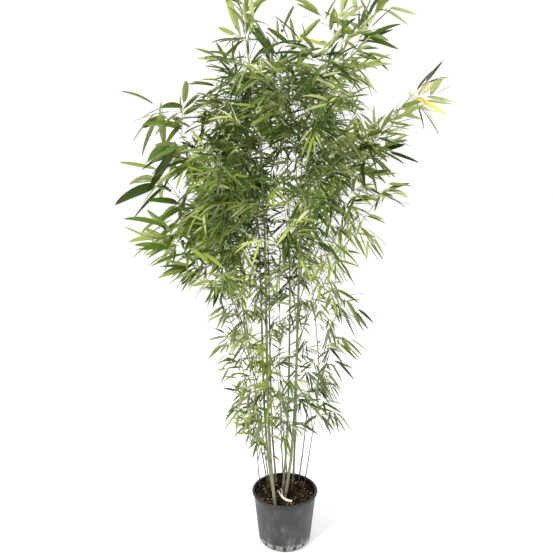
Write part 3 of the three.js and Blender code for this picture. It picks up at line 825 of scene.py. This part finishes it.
for name, culm in CULMS.items():
    length = culm["top"] - SOIL_TOP
    base = SOIL_TOP + CLEARANCE
    top = culm["points"][-1].z
    thick = culm["girth"] > THICK_GIRTH
    nodes = node_places(length, 26, 165, 95) if thick else node_places(length, 22, 110, 60)
    sections = limb_sections(
        lambda along: axis_point(culm, min(max(base + along, base + 0.01), top)), length,
        lambda along: culm_radius(culm, along), nodes,
    )
    sections[0] = (sections[0][0], UP, *sections[0][2:])
    bm = bmesh.new()
    grow_limb(bm, sections)
    piece = new_piece(f"{name}_cane", bm, [thick_skin if thick else thin_skin])
    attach(piece, "root")
    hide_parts(f"culm_{name}")
print("culms:", len(CULMS), "with nodes 60 to 165 mm apart")

# %% Branches with nodes
BRANCH_RADIUS, BRANCH_TIP_RADIUS = 2.3, 0.9


def grow_branch(bm, branch, first, last):
    span = (branch["end"] - branch["start"]).length
    start = first * span
    length = (last - first) * span
    grow_limb(
        bm,
        limb_sections(
            lambda along: bowed_point(branch, (start + along) / span), length,
            lambda along: mix(BRANCH_RADIUS, BRANCH_TIP_RADIUS, (start + along) / span),
            node_places(length, 18, 62, 38),
        ),
        BRANCH_SIDES,
    )


for branch in branches:
    if branch["kind"] == "outer":
        bm = bmesh.new()
        grow_branch(bm, branch, 0, BOUGH_SHARE)
        name = branch["limb"].replace("bough_", "")
        piece = new_piece(f"main_branch_{name}", bm, [branch_skin])
        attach(piece, "root")
        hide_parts(branch["limb"])
stems_bm = bmesh.new()
for branch in branches:
    one = bmesh.new()
    grow_branch(one, branch, BOUGH_SHARE if branch["kind"] == "outer" else 0, 1)
    spare = bpy.data.meshes.new("stem")
    one.to_mesh(spare)
    one.free()
    stems_bm.from_mesh(spare)
    bpy.data.meshes.remove(spare)
stems = new_piece("spray_stems", stems_bm, [branch_skin])
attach(stems, "root")
print("stems:", len(branches), "faces:", len(stems.data.polygons))

# %% [markdown]
# A spray is a stem with twigs on either hand, and along the end of every twig a fan of leaves. The
# four main twigs of each spray are the solid's own. Between them stand finer ones, and every twig
# bears twiglets. The solids' leaves are larger than life, so here the twigs go on until the real
# leaves reach as far as those do. A twig or leaf that would leave the spray's own space, or touch
# a culm or bough, is skipped, which keeps the crown as open as it is on the plant.

# %% The rule: leaf sizes
# Length in mm, how much that varies, length over width, how far it hangs, leaves on a twig, the
# distance between twigs, and the distance between leaves as a share of their length. The leaves
# are large and apart at the crown's left edge, slender at its right edge and its top, and small
# and close in its middle. Round the foot of the clump they are far apart: short on the left, and
# long and hanging on the right.
LEAVES = {
    "large": (164, 34, 4.8, 0.65, 3.8, 78, 0.24),
    "slender": (126, 34, 7.2, 0.0, 4.2, 76, 0.16),
    "inner": (88, 24, 9.4, 0.35, 7.8, 31, 0.1),
    "low_left": (72, 20, 7.8, 0.65, 4.6, 60, 0.12),
    "low_right": (92, 22, 8.6, 1.0, 3.6, 80, 0.16),
}
FOOT_TOP_LEFT, FOOT_TOP_RIGHT, FOOT_FADE = 1400, 1680, 370
SOLIDS_GROW_FROM, SOLIDS_GROW_TO = 900, 1350
SOLID_LEAF_LOW, SOLID_LEAF_HIGH = 106, 170


def smooth(low, high, value):
    share = min(max((value - low) / (high - low), 0), 1)
    return share * share * (3 - 2 * share)


def side_share(point):
    """How far a point is from the crown's middle to its left or right edge at that height."""
    aside = point.x - CROWN_MIDDLE[0]
    return abs(aside) / crown_reach(point.z, 0 if aside > 0 else math.pi)


def leaf_kind(point):
    """The seven numbers of the leaves at a point."""
    out = max(smooth(0.42, 0.8, side_share(point)), smooth(1880, 2100, point.z))
    left = smooth(-120, -400, point.x) * smooth(1240, 1460, point.z)
    right = smooth(40, 240, point.x)
    foot_top = mix(FOOT_TOP_LEFT, FOOT_TOP_RIGHT, right)
    height = smooth(foot_top - FOOT_FADE, foot_top, point.z)
    return [
        mix(mix(low_left, low_right, right), mix(inner, mix(slender, large, left), out), height)
        for large, slender, inner, low_left, low_right in zip(*LEAVES.values())
    ]


# %% The rule: twigs
TWIGS = 4
FIRST_TWIG = {"outer": 0.06, "tip": 0.06, "inner": 0.16}
LAST_TWIG = 0.85
# Each chance has a number of its own, so that no two of them go together.
NODE_BEARS = 1
LEAF_TURN, LEAF_HANG, LEAF_ROLL, LEAF_LENGTH, LEAF_SLIM = 2, 3, 4, 5, 6
LEAF_SAG, LEAF_FOLD, LEAF_TWIST, LEAF_CURL = 7, 8, 9, 10
TURN, SPLAY, REACH, ROLL, SHORTENING, DROOP, LEAVES_BORNE = 11, 12, 13, 14, 15, 16, 17
TINT, AGEING, THINNING = 21, 22, 23
TWIGLET = 52  # its usual length
BOW = 0.06  # how far a twig bows up, as a share of its length


def stem_point(branch, share):
    return bowed_point(branch, mix(branch["first"], 1, share))


def stem_length(branch):
    return (stem_point(branch, 1) - stem_point(branch, 0)).length


def twig(branch, start, end, key, roll, bow=BOW):
    return dict(start=start, end=end, key=key, roll=math.radians(roll), bow=bow, branch=branch)


def grown(start, end):
    """The end of a twig whose real leaves reach as far as the solid's larger ones."""
    solid = mix(SOLID_LEAF_LOW, SOLID_LEAF_HIGH, smooth(SOLIDS_GROW_FROM, SOLIDS_GROW_TO, end.z))
    spare = max(solid - leaf_kind(end)[0], 0)
    return end + (end - start).normalized() * spare


def side_twig(branch, share, hand, key, length_share=1.0):
    """A twig on one hand of a stem. The keys 0 to 3 are those of the solid's own twigs."""
    keys = (branch["key"], key)
    start = stem_point(branch, share)
    heading = (stem_point(branch, share + 0.05) - start).normalized()
    side = across(heading, math.radians(spread(0, 40, *keys, TURN)))
    splay = math.radians(spread(50, 12, *keys, SPLAY))
    heading = (heading * math.cos(splay) + side * (hand * math.sin(splay))).normalized()
    reach = stem_length(branch) * spread(0.45 - 0.2 * share, 0.05, *keys, REACH)
    end = grown(start, start + heading * reach)
    return twig(branch, start, start.lerp(end, length_share), key, spread(0, 50, *keys, ROLL))


def twiglets(parent, droop):
    """Short twigs on either hand of a twig, which hang a little."""
    along = parent["end"] - parent["start"]
    spacing = leaf_kind(parent["start"].lerp(parent["end"], 0.5))[5]
    grown_here = []
    for number in range(int(along.length / spacing)):
        key = 1000 + 100 * parent["key"] + number
        keys = (parent["branch"]["key"], key)
        heading = along.normalized()
        side = across(heading, parent["roll"] + math.radians(spread(0, 45, *keys, TURN)))
        splay = math.radians(spread(48, 14, *keys, SPLAY)) * (1 if number % 2 else -1)
        heading = heading * math.cos(splay) + side * math.sin(splay)
        heading = (heading - UP * spread(droop, 0.3, *keys, DROOP)).normalized()
        share = (number + 0.6) * spacing / along.length
        bow = UP * (parent["bow"] * along.length * 4 * share * (1 - share))
        start = parent["start"] + along * share + bow
        end = start + heading * spread(TWIGLET, 18, *keys, REACH)
        grown_here.append(twig(parent["branch"], start, end, key, spread(0, 60, *keys, ROLL)))
    return grown_here


def twigs_of(branch):
    first = FIRST_TWIG[branch["kind"]]
    found = []
    for number in range(TWIGS):
        share = mix(first, LAST_TWIG, number / (TWIGS - 1))
        found.append(side_twig(branch, share, 1 if number % 2 else -1, number))
    key, share = 100, first
    while share < 0.97:
        length_share = spread(0.5, 0.3, branch["key"], key, SHORTENING)
        found.append(side_twig(branch, share, 1 if key % 2 else -1, key, length_share))
        share += leaf_kind(stem_point(branch, share))[5] / stem_length(branch)
        key += 1
    tip = stem_point(branch, 1)
    end = grown(stem_point(branch, 0.9), tip)
    found.append(twig(branch, tip, end + (end - tip).normalized() * 20, 900, 0))
    for parent in list(found):
        found += twiglets(parent, 0.25)
    return found


# %% [markdown]
# Slender bamboos also leaf from the nodes low on their culms: thin arching twigs that lean
# outwards, with small hanging leaves. They make the veil of foliage round the foot of the clump,
# so every culm bears some between knee height and the foot of the crown. Each is treated like a
# spray of its own. It ends near the crown's outline at its height, and some of its leaves reach
# past that, most of all low on the left, where the twigs are longer.

# %% The rule: twigs at the nodes of the culms
NODE_TWIGS = dict(lowest=400, highest=1560, spacing=52, turn=80, climb=0.75)
USUAL_NODES = dict(share=0.38, short_by=72)
LEAFY_NODES = dict(share=1, short_by=10)
LEAFY_BELOW = 660  # low on the left the clump is leafier
LOWEST_LEAF = 440
NODE_TWIG_SHORTEST, NODE_TWIG_LONGEST = 50, 250
NODE_BOW = 0.14

node_twigs = []
for index, culm in enumerate(CULMS.values()):
    height = NODE_TWIGS["lowest"] + 7 * index
    while height < min(NODE_TWIGS["highest"], culm["top"] - 30):
        keys = (60 + index, int(height))
        start = axis_point(culm, height)
        height += NODE_TWIGS["spacing"]
        nodes = LEAFY_NODES if start.z < LEAFY_BELOW and start.x < CROWN_MIDDLE[0] else USUAL_NODES
        if chance(*keys, NODE_BEARS) > nodes["share"]:
            continue
        outwards = math.atan2(start.y, start.x - CROWN_MIDDLE[0])
        angle = outwards + math.radians(spread(0, NODE_TWIGS["turn"], *keys, TURN))
        heading = Vector((math.cos(angle), math.sin(angle), 0))
        gone = (start - Vector((*CROWN_MIDDLE, start.z))).dot(heading)
        room = crown_reach(start.z + 60, angle) - gone - nodes["short_by"]
        length = min(max(room * spread(0.75, 0.25, *keys, REACH), NODE_TWIG_SHORTEST), NODE_TWIG_LONGEST)
        heading = (heading + UP * spread(NODE_TWIGS["climb"], 0.4, *keys, SPLAY)).normalized()
        end = start + heading * length
        owner = dict(name="node", kind="node", key=60 + index, start=start, end=end, first=0)
        node_twigs.append(twig(owner, start, end, int(height), spread(0, 60, *keys, ROLL), NODE_BOW))
print("twigs at the culms' nodes:", len(node_twigs))

# %% The rule: fans of leaves
OUTLINE_ROOM = 8  # a leaf may stand this far out of the solid crown's box
SPRAY_ROOM = 24  # and this far out of its own spray's
# Some sprays bear more leaves to a twig than others, or fewer.
LEAFINESS = {
    "foliage_bough_front": 0.6, "foliage_bough_right_low": 0.6, "foliage_bough_left_low": 1.6,
    "foliage_bough_back_left": 1.3, "foliage_bough_back_right": 1.5,
    "foliage_right_back_tip": 0.5, "foliage_spray_13": 0.6,
    "foliage_left_front_tip": 0.6, "foliage_thin_left_inner_tip": 0.6, "foliage_far_right_tip": 1.2,
    "foliage_middle_back_tip": 1.6, "foliage_spray_2": 1.1, "foliage_spray_6": 0.75,
    "foliage_spray_7": 0.6, "foliage_spray_8": 1.3, "foliage_spray_9": 1.4,
}
# The clump is thinner in front of its culms, which show through.
FRONT = dict(before=-30, within=140, above=900, below=1700, share=0.3)


def fan_of(twig):
    """The leaves of a twig: one carries on from its end and the others stand off it by turns."""
    along = twig["end"] - twig["start"]
    heading = along.normalized()
    side = across(heading, twig["roll"])
    usual, varies, slimness, hang, count, _, spacing = leaf_kind(twig["end"])
    fan = []
    count *= LEAFINESS.get(twig["branch"]["name"], 1)
    twig_keys = (twig["branch"]["key"], twig["key"])
    for leaf in range(round(spread(count, 1.4, *twig_keys, LEAVES_BORNE))):
        keys = (*twig_keys, leaf)
        length = spread(usual, varies, *keys, LEAF_LENGTH) * (1 - 0.025 * leaf)
        back = leaf * spacing * usual
        if back > 0.9 * along.length:
            break
        hand = 1 if leaf % 2 else -1
        if leaf == 0:
            turned = spread(0, 10, *keys, LEAF_TURN)
        else:
            turned = hand * spread(30 + 4 * leaf, 13, *keys, LEAF_TURN)
        splay = math.radians(turned)
        direction = heading * math.cos(splay) + side * math.sin(splay)
        direction = (direction - UP * spread(hang, 0.45, *keys, LEAF_HANG)).normalized()
        share = 1 - back / along.length
        bow = UP * (twig["bow"] * along.length * 4 * share * (1 - share))
        fan.append(dict(
            start=twig["start"] + along * share + bow, heading=direction,
            side=across(direction, math.radians(spread(0, 75, *keys, LEAF_ROLL))),
            length=length, slimness=spread(slimness, 0.15 * slimness, *keys, LEAF_SLIM),
            sag=spread(0.14, 0.12, *keys, LEAF_SAG), fold=spread(0.28, 0.2, *keys, LEAF_FOLD),
            twist=spread(0, 0.6, *keys, LEAF_TWIST), curl=spread(0, 0.08, *keys, LEAF_CURL),
        ))
    return fan


# %% The rule: which colour a twig's leaves have
# The deep green is a real leaf green, darkened further to paint the shade inside the crown: painted shade.
LEAF_COLOURS = {
    "deep_and_shaded": ("#28390a", "#4f6321"),
    "middle": ("#4b5f1a", "#838f4c"),
    "light": ("#728132", "#a3ab70"),
    "fresh": ("#959d48", "#b9bf88"),
    "dull": ("#5b6344", "#9a9f84"),
    "yellowing": ("#c8b05e", "#cfc187"),
}  # upper side and underside
# Most leaves in the crown's middle get the darkened deep green as painted shade. Those at its edges, its top
# and low on its left get paler greens as painted light.
SHADED_MIDDLE_TINTS = {"deep_and_shaded": 0.6, "middle": 0.25, "light": 0.11, "fresh": 0.04}
LIT_EDGE_TINTS = {"deep_and_shaded": 0.14, "middle": 0.5, "light": 0.32, "fresh": 0.04}
LIT_LEFT_OF, LIT_BELOW, LIT_ABOVE, LIT_OUTSIDE = -160, 1350, 2050, 0.4
FOOT_TINTS_BELOW = 1150
FOOT_LEFT_TINTS = {"deep_and_shaded": 0.06, "middle": 0.26, "dull": 0.28, "light": 0.36, "fresh": 0.04}
FOOT_RIGHT_TINTS = {"deep_and_shaded": 0.16, "middle": 0.34, "dull": 0.44, "light": 0.06}
# A twig is yellowing where its chance is over this.
YELLOWING = {"foliage_bough_right_high": 0.97, "foliage_bough_right_middle": 0.95}
USUAL_YELLOWING = 0.998


def tint_of(twig):
    branch, end = twig["branch"], twig["end"]
    draw = chance(branch["key"], twig["key"], TINT)
    if chance(branch["key"], twig["key"], AGEING) > YELLOWING.get(branch["name"], USUAL_YELLOWING):
        return "yellowing"
    if end.z < FOOT_TINTS_BELOW:
        shares = FOOT_LEFT_TINTS if end.x < CROWN_MIDDLE[0] else FOOT_RIGHT_TINTS
    else:
        # Painted light and shade: the crown's top, lower left and edges take the paler tints, and its middle
        # takes the darker ones.
        pale = end.x < LIT_LEFT_OF and end.z < LIT_BELOW or end.z > LIT_ABOVE
        shares = LIT_EDGE_TINTS if side_share(end) > LIT_OUTSIDE or pale else SHADED_MIDDLE_TINTS
    for tint, share in shares.items():
        if draw < share:
            break
        draw -= share
    return tint


# %% Grow the twigs and leaves
limbs_only = np.array([not owner.startswith("foliage") for owner in taken["owner"]])
LIMB_STARTS = np.array(taken["start"])[limbs_only]
LIMB_ENDS = np.array(taken["end"])[limbs_only]
LIMB_RADII = np.array(taken["radius"])[limbs_only]
ROOT = 0.25  # this share of a twig or leaf may lie near the limb it grows by
BOX_LOW = np.array(CAD_LOW) / MM - OUTLINE_ROOM
BOX_HIGH = np.array(CAD_HIGH) / MM + OUTLINE_ROOM
SPACE = {}
for branch in branches:
    low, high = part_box(branch["name"])
    SPACE[branch["name"]] = (np.array(low) / MM - SPRAY_ROOM, np.array(high) / MM + SPRAY_ROOM)


def fits(name, start, end, half_width):
    low, high = SPACE.get(name, (BOX_LOW, BOX_HIGH))
    tip = np.array(end)
    if (tip < low).any() or (tip > high).any() or (tip < BOX_LOW).any() or (tip > BOX_HIGH).any():
        return False
    gaps = gaps_to(np.array(start.lerp(end, ROOT)), tip, LIMB_STARTS, LIMB_ENDS)
    return bool((gaps > LIMB_RADII + half_width).all())


def in_front(point):
    return (
        point.y < FRONT["before"] and abs(point.x - CROWN_MIDDLE[0]) < FRONT["within"]
        and FRONT["above"] < point.z < FRONT["below"]
    )


leaves = {tint: [] for tint in LEAF_COLOURS}
twigs = []
candidates = [one for branch in branches for one in twigs_of(branch)]
for one in node_twigs:
    candidates += [one] + twiglets(one, 0.55)
for one in candidates:
    name = one["branch"]["name"]
    if not fits(name, one["start"], one["end"], 1):
        continue
    if in_front(one["end"]) and chance(one["branch"]["key"], one["key"], THINNING) > FRONT["share"]:
        continue
    twigs.append(one)
    tint = tint_of(one)
    for leaf in fan_of(one):
        tip = leaf["start"] + (leaf["heading"] - UP * leaf["sag"]) * leaf["length"]
        if tip.z > LOWEST_LEAF and fits(name, leaf["start"], tip, leaf["length"] / leaf["slimness"] / 3):
            leaves[tint].append(leaf)
print("twigs:", len(twigs), "leaves:", {tint: len(found) for tint, found in leaves.items()})

# %% [markdown]
# Twigs are thin green rods that bow under their leaves. There are thousands, so each is a four-sided
# rod of four rings from one array of numbers, and all of them are one mesh.

# %% Twigs
TWIG_RADII = (0.95, 0.8, 0.65, 0.5)
TWIG_SIDES = 4
TWIG_SHARP_ANGLE = 60


def rods_mesh(name, rods, finish):
    rings = len(TWIG_RADII)
    corner = 2 * np.pi * np.arange(TWIG_SIDES) / TWIG_SIDES
    shares = np.linspace(0, 1, rings)
    start = np.array([rod["start"] for rod in rods])
    end = np.array([rod["end"] for rod in rods])
    span = end - start
    length = np.linalg.norm(span, axis=1, keepdims=True)
    heading = span / length
    side = np.array([across(Vector(one), 0) for one in heading])
    face = np.cross(heading, side)
    bow = np.array([rod["bow"] for rod in rods])[:, None] * length * 4
    rise = bow[:, None] * (shares * (1 - shares))[None, :, None] * np.array([0, 0, 1.0])
    middles = start[:, None] + span[:, None] * shares[None, :, None] + rise
    radial = side[:, None] * np.cos(corner)[None, :, None] + face[:, None] * np.sin(corner)[None, :, None]
    verts = middles[:, :, None] + radial[:, None] * np.array(TWIG_RADII)[None, :, None, None]
    around = np.arange(TWIG_SIDES)
    after = (around + 1) % TWIG_SIDES
    quads = [
        np.stack([r * TWIG_SIDES + around, r * TWIG_SIDES + after, (r + 1) * TWIG_SIDES + after,
                  (r + 1) * TWIG_SIDES + around], 1)
        for r in range(rings - 1)
    ]
    step = rings * TWIG_SIDES
    base = np.concatenate(quads)
    faces = (base[None] + step * np.arange(len(rods))[:, None, None]).reshape(-1, 4).tolist()
    for rod in range(len(rods)):
        faces.append((around[::-1] + rod * step).tolist())
        faces.append((around + rod * step + step - TWIG_SIDES).tolist())
    mesh = bpy.data.meshes.new(name)
    mesh.from_pydata(verts.reshape(-1, 3) * MM, [], faces)
    return show(mesh, [finish], TWIG_SHARP_ANGLE)


twig_skin, _ = start_finish("young_twig_skin", "#8a9450", 0.5)
twig_piece = rods_mesh("twigs", twigs, twig_skin)
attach(twig_piece, "root")

# %% [markdown]
# A bamboo leaf is a long lance: a short stalk, a rounded base, the widest place a third of the way
# along, and a drawn-out tip. It is folded along its midrib like a shallow roof turned upside down,
# and bends down under its weight. Its upper side is green with a satin shine, and its underside is
# paler and dull. The undersides here are made paler still to stand in for the leaves' shine, which
# is painted highlight. Each leaf is a thin closed solid with the two sides in two finishes. The shape
# is worked out for all the leaves of one tint at once, with arrays.

# %% Leaf finishes
VEIN_SPACING = 2.2  # mm: real veins are half as far apart, too fine to show


def leaf_skin(name, colour, roughness):
    finish, shader = start_finish(name, colour, roughness, 1.3)
    along = add_node(finish, "ShaderNodeUVMap", {}, uv_map="blade")
    veins = add_node(
        finish, "ShaderNodeTexWave", {"Vector": (along, "UV"), "Scale": per_mm(VEIN_SPACING) / 6.3},
        bands_direction="X",
    )
    bump = add_node(finish, BUMP, {"Height": (veins, "Fac"), "Distance": 0.05 * MM, "Strength": 0.5})
    feed(finish, shader, "Normal", (bump, "Normal"))
    return finish


# %% The shape of a leaf
# Shares of the length at which the blade has a section, for large leaves and for small ones.
FULL_STATIONS = np.array([0.035, 0.1, 0.2, 0.34, 0.5, 0.66, 0.8, 0.92])
FEW_STATIONS = np.array([0.05, 0.2, 0.42, 0.66, 0.87])
LARGE_LEAF = 110  # a leaf longer than this has the full stations
PETIOLE = 0.16  # width of the stalk, as a share of the widest place
FULL_ROUNDNESS, FEW_ROUNDNESS = (0.47, 0.66), (0.6, 0.9)  # of the base and of the tip
LEAF_THICKNESS = 0.35
LEAF_SHARP_ANGLE = 50
DOWN = np.array([0, 0, -1.0])


def half_widths(stations):
    base, tip = FEW_ROUNDNESS if len(stations) == len(FEW_STATIONS) else FULL_ROUNDNESS
    shape = stations**base * (1 - stations) ** tip
    shape = shape / shape.max()
    shape[0] = PETIOLE
    return shape


def leaf_faces(rings):
    """Triangles of a closed leaf: a root point, rings of four, and a tip point."""
    last = 1 + 4 * rings
    faces, upper = [], []
    for k in range(4):
        after = (k + 1) % 4
        faces += [(0, 1 + after, 1 + k), (last, last - 4 + k, last - 4 + after)]
        upper += [k > 1] * 2
        for ring in range(rings - 1):
            low, high = 1 + 4 * ring, 5 + 4 * ring
            # Both sides are cut into triangles along the same lines, or one would show through.
            if k > 1:
                faces += [(low + k, low + after, high + k), (low + after, high + after, high + k)]
            else:
                faces += [(low + k, low + after, high + after), (low + k, high + after, high + k)]
            upper += [k > 1] * 2
    return np.array(faces), np.array(upper, int)


def unit(vectors):
    return vectors / np.linalg.norm(vectors, axis=-1, keepdims=True)


def leaf_arrays(leaves, stations):
    """Points, triangles, sides and blade coordinates of many leaves with the same stations."""
    def column(key):
        return np.array([leaf[key] for leaf in leaves], float).reshape(len(leaves), 1, -1)

    length, side, heading = column("length"), column("side"), column("heading")
    width = length / column("slimness")
    t = np.concatenate([[0], stations, [1]])[:, None]
    bend = DOWN * column("sag") + side * column("curl")
    spine = column("start") + length * (heading * t + bend * t * t)
    run = unit(heading + 2 * bend * t)
    level = unit(side - run * (side * run).sum(2, keepdims=True))
    normal = np.cross(level, run)
    turn = np.where(normal[..., 2].mean(1) < 0, -1, 1)[:, None, None]
    level, normal = level * turn, normal * turn
    twist = column("twist") * t
    level, normal = (
        level * np.cos(twist) + normal * np.sin(twist), normal * np.cos(twist) - level * np.sin(twist),
    )
    shape = half_widths(stations)[:, None]
    half = shape * width / 2
    level, normal, middle = level[:, 1:-1], normal[:, 1:-1], spine[:, 1:-1]
    lift = normal * half * column("fold")
    left, right = middle - level * half + lift, middle + level * half + lift
    thick = normal * LEAF_THICKNESS / 2
    rings = np.stack([left, middle + thick, right, middle - thick], 2)
    count, points = len(leaves), 2 + 4 * len(stations)
    verts = np.concatenate([spine[:, :1], rings.reshape(count, -1, 3), spine[:, -1:]], 1)
    # Blade coordinates are millimetres in thousands: across from the midrib, and along.
    across_blade = np.stack([-half, 0 * half, half, 0 * half], 2)[..., 0].reshape(count, -1)
    across_blade = np.pad(across_blade, ((0, 0), (1, 1)))
    along_blade = length[:, :, 0] * np.concatenate([[0], np.repeat(stations, 4), [1]])
    faces, under = leaf_faces(len(stations))
    faces = (faces + points * np.arange(count)[:, None, None]).reshape(-1, 3)
    coordinates = np.stack([across_blade, along_blade], 2).reshape(-1, 2) * MM
    return verts.reshape(-1, 3) * MM, faces, np.tile(under, count), coordinates


# %% Leaves
MOST_LEAVES = 4200  # in one piece


def leaf_piece(name, leaves, finishes):
    parts = []
    for few, stations in ((True, FEW_STATIONS), (False, FULL_STATIONS)):
        some = [leaf for leaf in leaves if (leaf["length"] < LARGE_LEAF) == few]
        if some:
            parts.append(leaf_arrays(some, stations))
    starts = np.cumsum([0] + [len(part[0]) for part in parts])
    verts = np.concatenate([part[0] for part in parts])
    faces = np.concatenate([part[1] + start for part, start in zip(parts, starts)])
    mesh = bpy.data.meshes.new(name)
    mesh.from_pydata(verts, [], faces)
    mesh.polygons.foreach_set("material_index", np.concatenate([part[2] for part in parts]))
    layer = mesh.uv_layers.new(name="blade")
    coordinates = np.concatenate([part[3] for part in parts])
    layer.data.foreach_set("uv", coordinates[faces.reshape(-1)].astype(np.float32).reshape(-1))
    return show(mesh, finishes, LEAF_SHARP_ANGLE)


foliage_nodes = [branch["name"] for branch in branches]
triangles = 0
for tint, found in leaves.items():
    top, under = LEAF_COLOURS[tint]
    # The underside colours are pale as a bamboo leaf's are, and paler still as painted highlight.
    skins = [leaf_skin(f"{tint}_leaf_blade", top, 0.34), leaf_skin(f"{tint}_leaf_underside_and_painted_highlight", under, 0.6)]
    for part in range(math.ceil(len(found) / MOST_LEAVES)):
        some = found[part * MOST_LEAVES : (part + 1) * MOST_LEAVES]
        piece = leaf_piece(f"{tint}_leaves_{part + 1}", some, skins)
        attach(piece, "root")
        if tint == "middle" and part == 0:
            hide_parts(*foliage_nodes)
        triangles += len(piece.data.polygons)
        print(piece.name, len(some), "leaves", len(piece.data.polygons), "triangles")
print("leaf triangles:", triangles)

# %% [markdown]
# In front, a pale young rhizome has come up out of the soil, bent over and forked. It is grown like
# a limb, from its thin end to its blunt one.

# %% The rhizome's shoot
SHOOT_POINTS = (Vector((-26, -50, 34)), Vector((-12, -72, 4)), Vector((30, -80, 3)))


def shoot_point(share):
    first, bend, last = SHOOT_POINTS
    point = first * (1 - share) ** 2 + bend * (2 * share * (1 - share)) + last * share**2
    radius = mix(1.6, 4.8, math.sin(math.pi / 2 * share / 0.75))
    point.z = max(point.z, radius)
    return point + UP * (SOIL_TOP + CLEARANCE), radius


RHIZOME_STOPS = [(0.35, "#cfb69a"), (0.6, "#f1e8d8")]
rhizome_skin = mottled("young_rhizome_skin", "#e9dcc4", 0.5, 1.5, 8, 2, RHIZOME_STOPS, 0.2)
shoot_bm = bmesh.new()
shoot_sections = []
for step in range(25):
    share = step / 24
    point, radius = shoot_point(share)
    ahead, behind = shoot_point(min(share + 0.02, 1))[0], shoot_point(max(share - 0.02, 0))[0]
    ring = 1.12 if step % 5 == 2 else 1.0
    shoot_sections.append((point, (ahead - behind).normalized(), radius * ring, 1.0))
grow_limb(shoot_bm, shoot_sections)
fork_start = shoot_point(0.45)[0]
fork_end = shoot_point(0)[0] + Vector((9, 6, 8))
fork_heading = (fork_end - fork_start).normalized()
fork_sections = [
    (fork_start.lerp(fork_end, share), fork_heading, mix(1.7, 0.9, share), 1.0)
    for share in (0, 0.25, 0.5, 0.75, 1)
]
grow_limb(shoot_bm, fork_sections, FORK_SIDES)
shoot = new_piece("pale_rhizome", shoot_bm, [rhizome_skin])
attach(shoot, "root")
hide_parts("rhizome_shoot")

# %% [markdown]
# The dressed plant has to keep to the size of the solids, so its box is printed.

# %% Size of the dressed plant
low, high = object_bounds()
print("visual box", [round(c, 3) for c in low], [round(c, 3) for c in high])
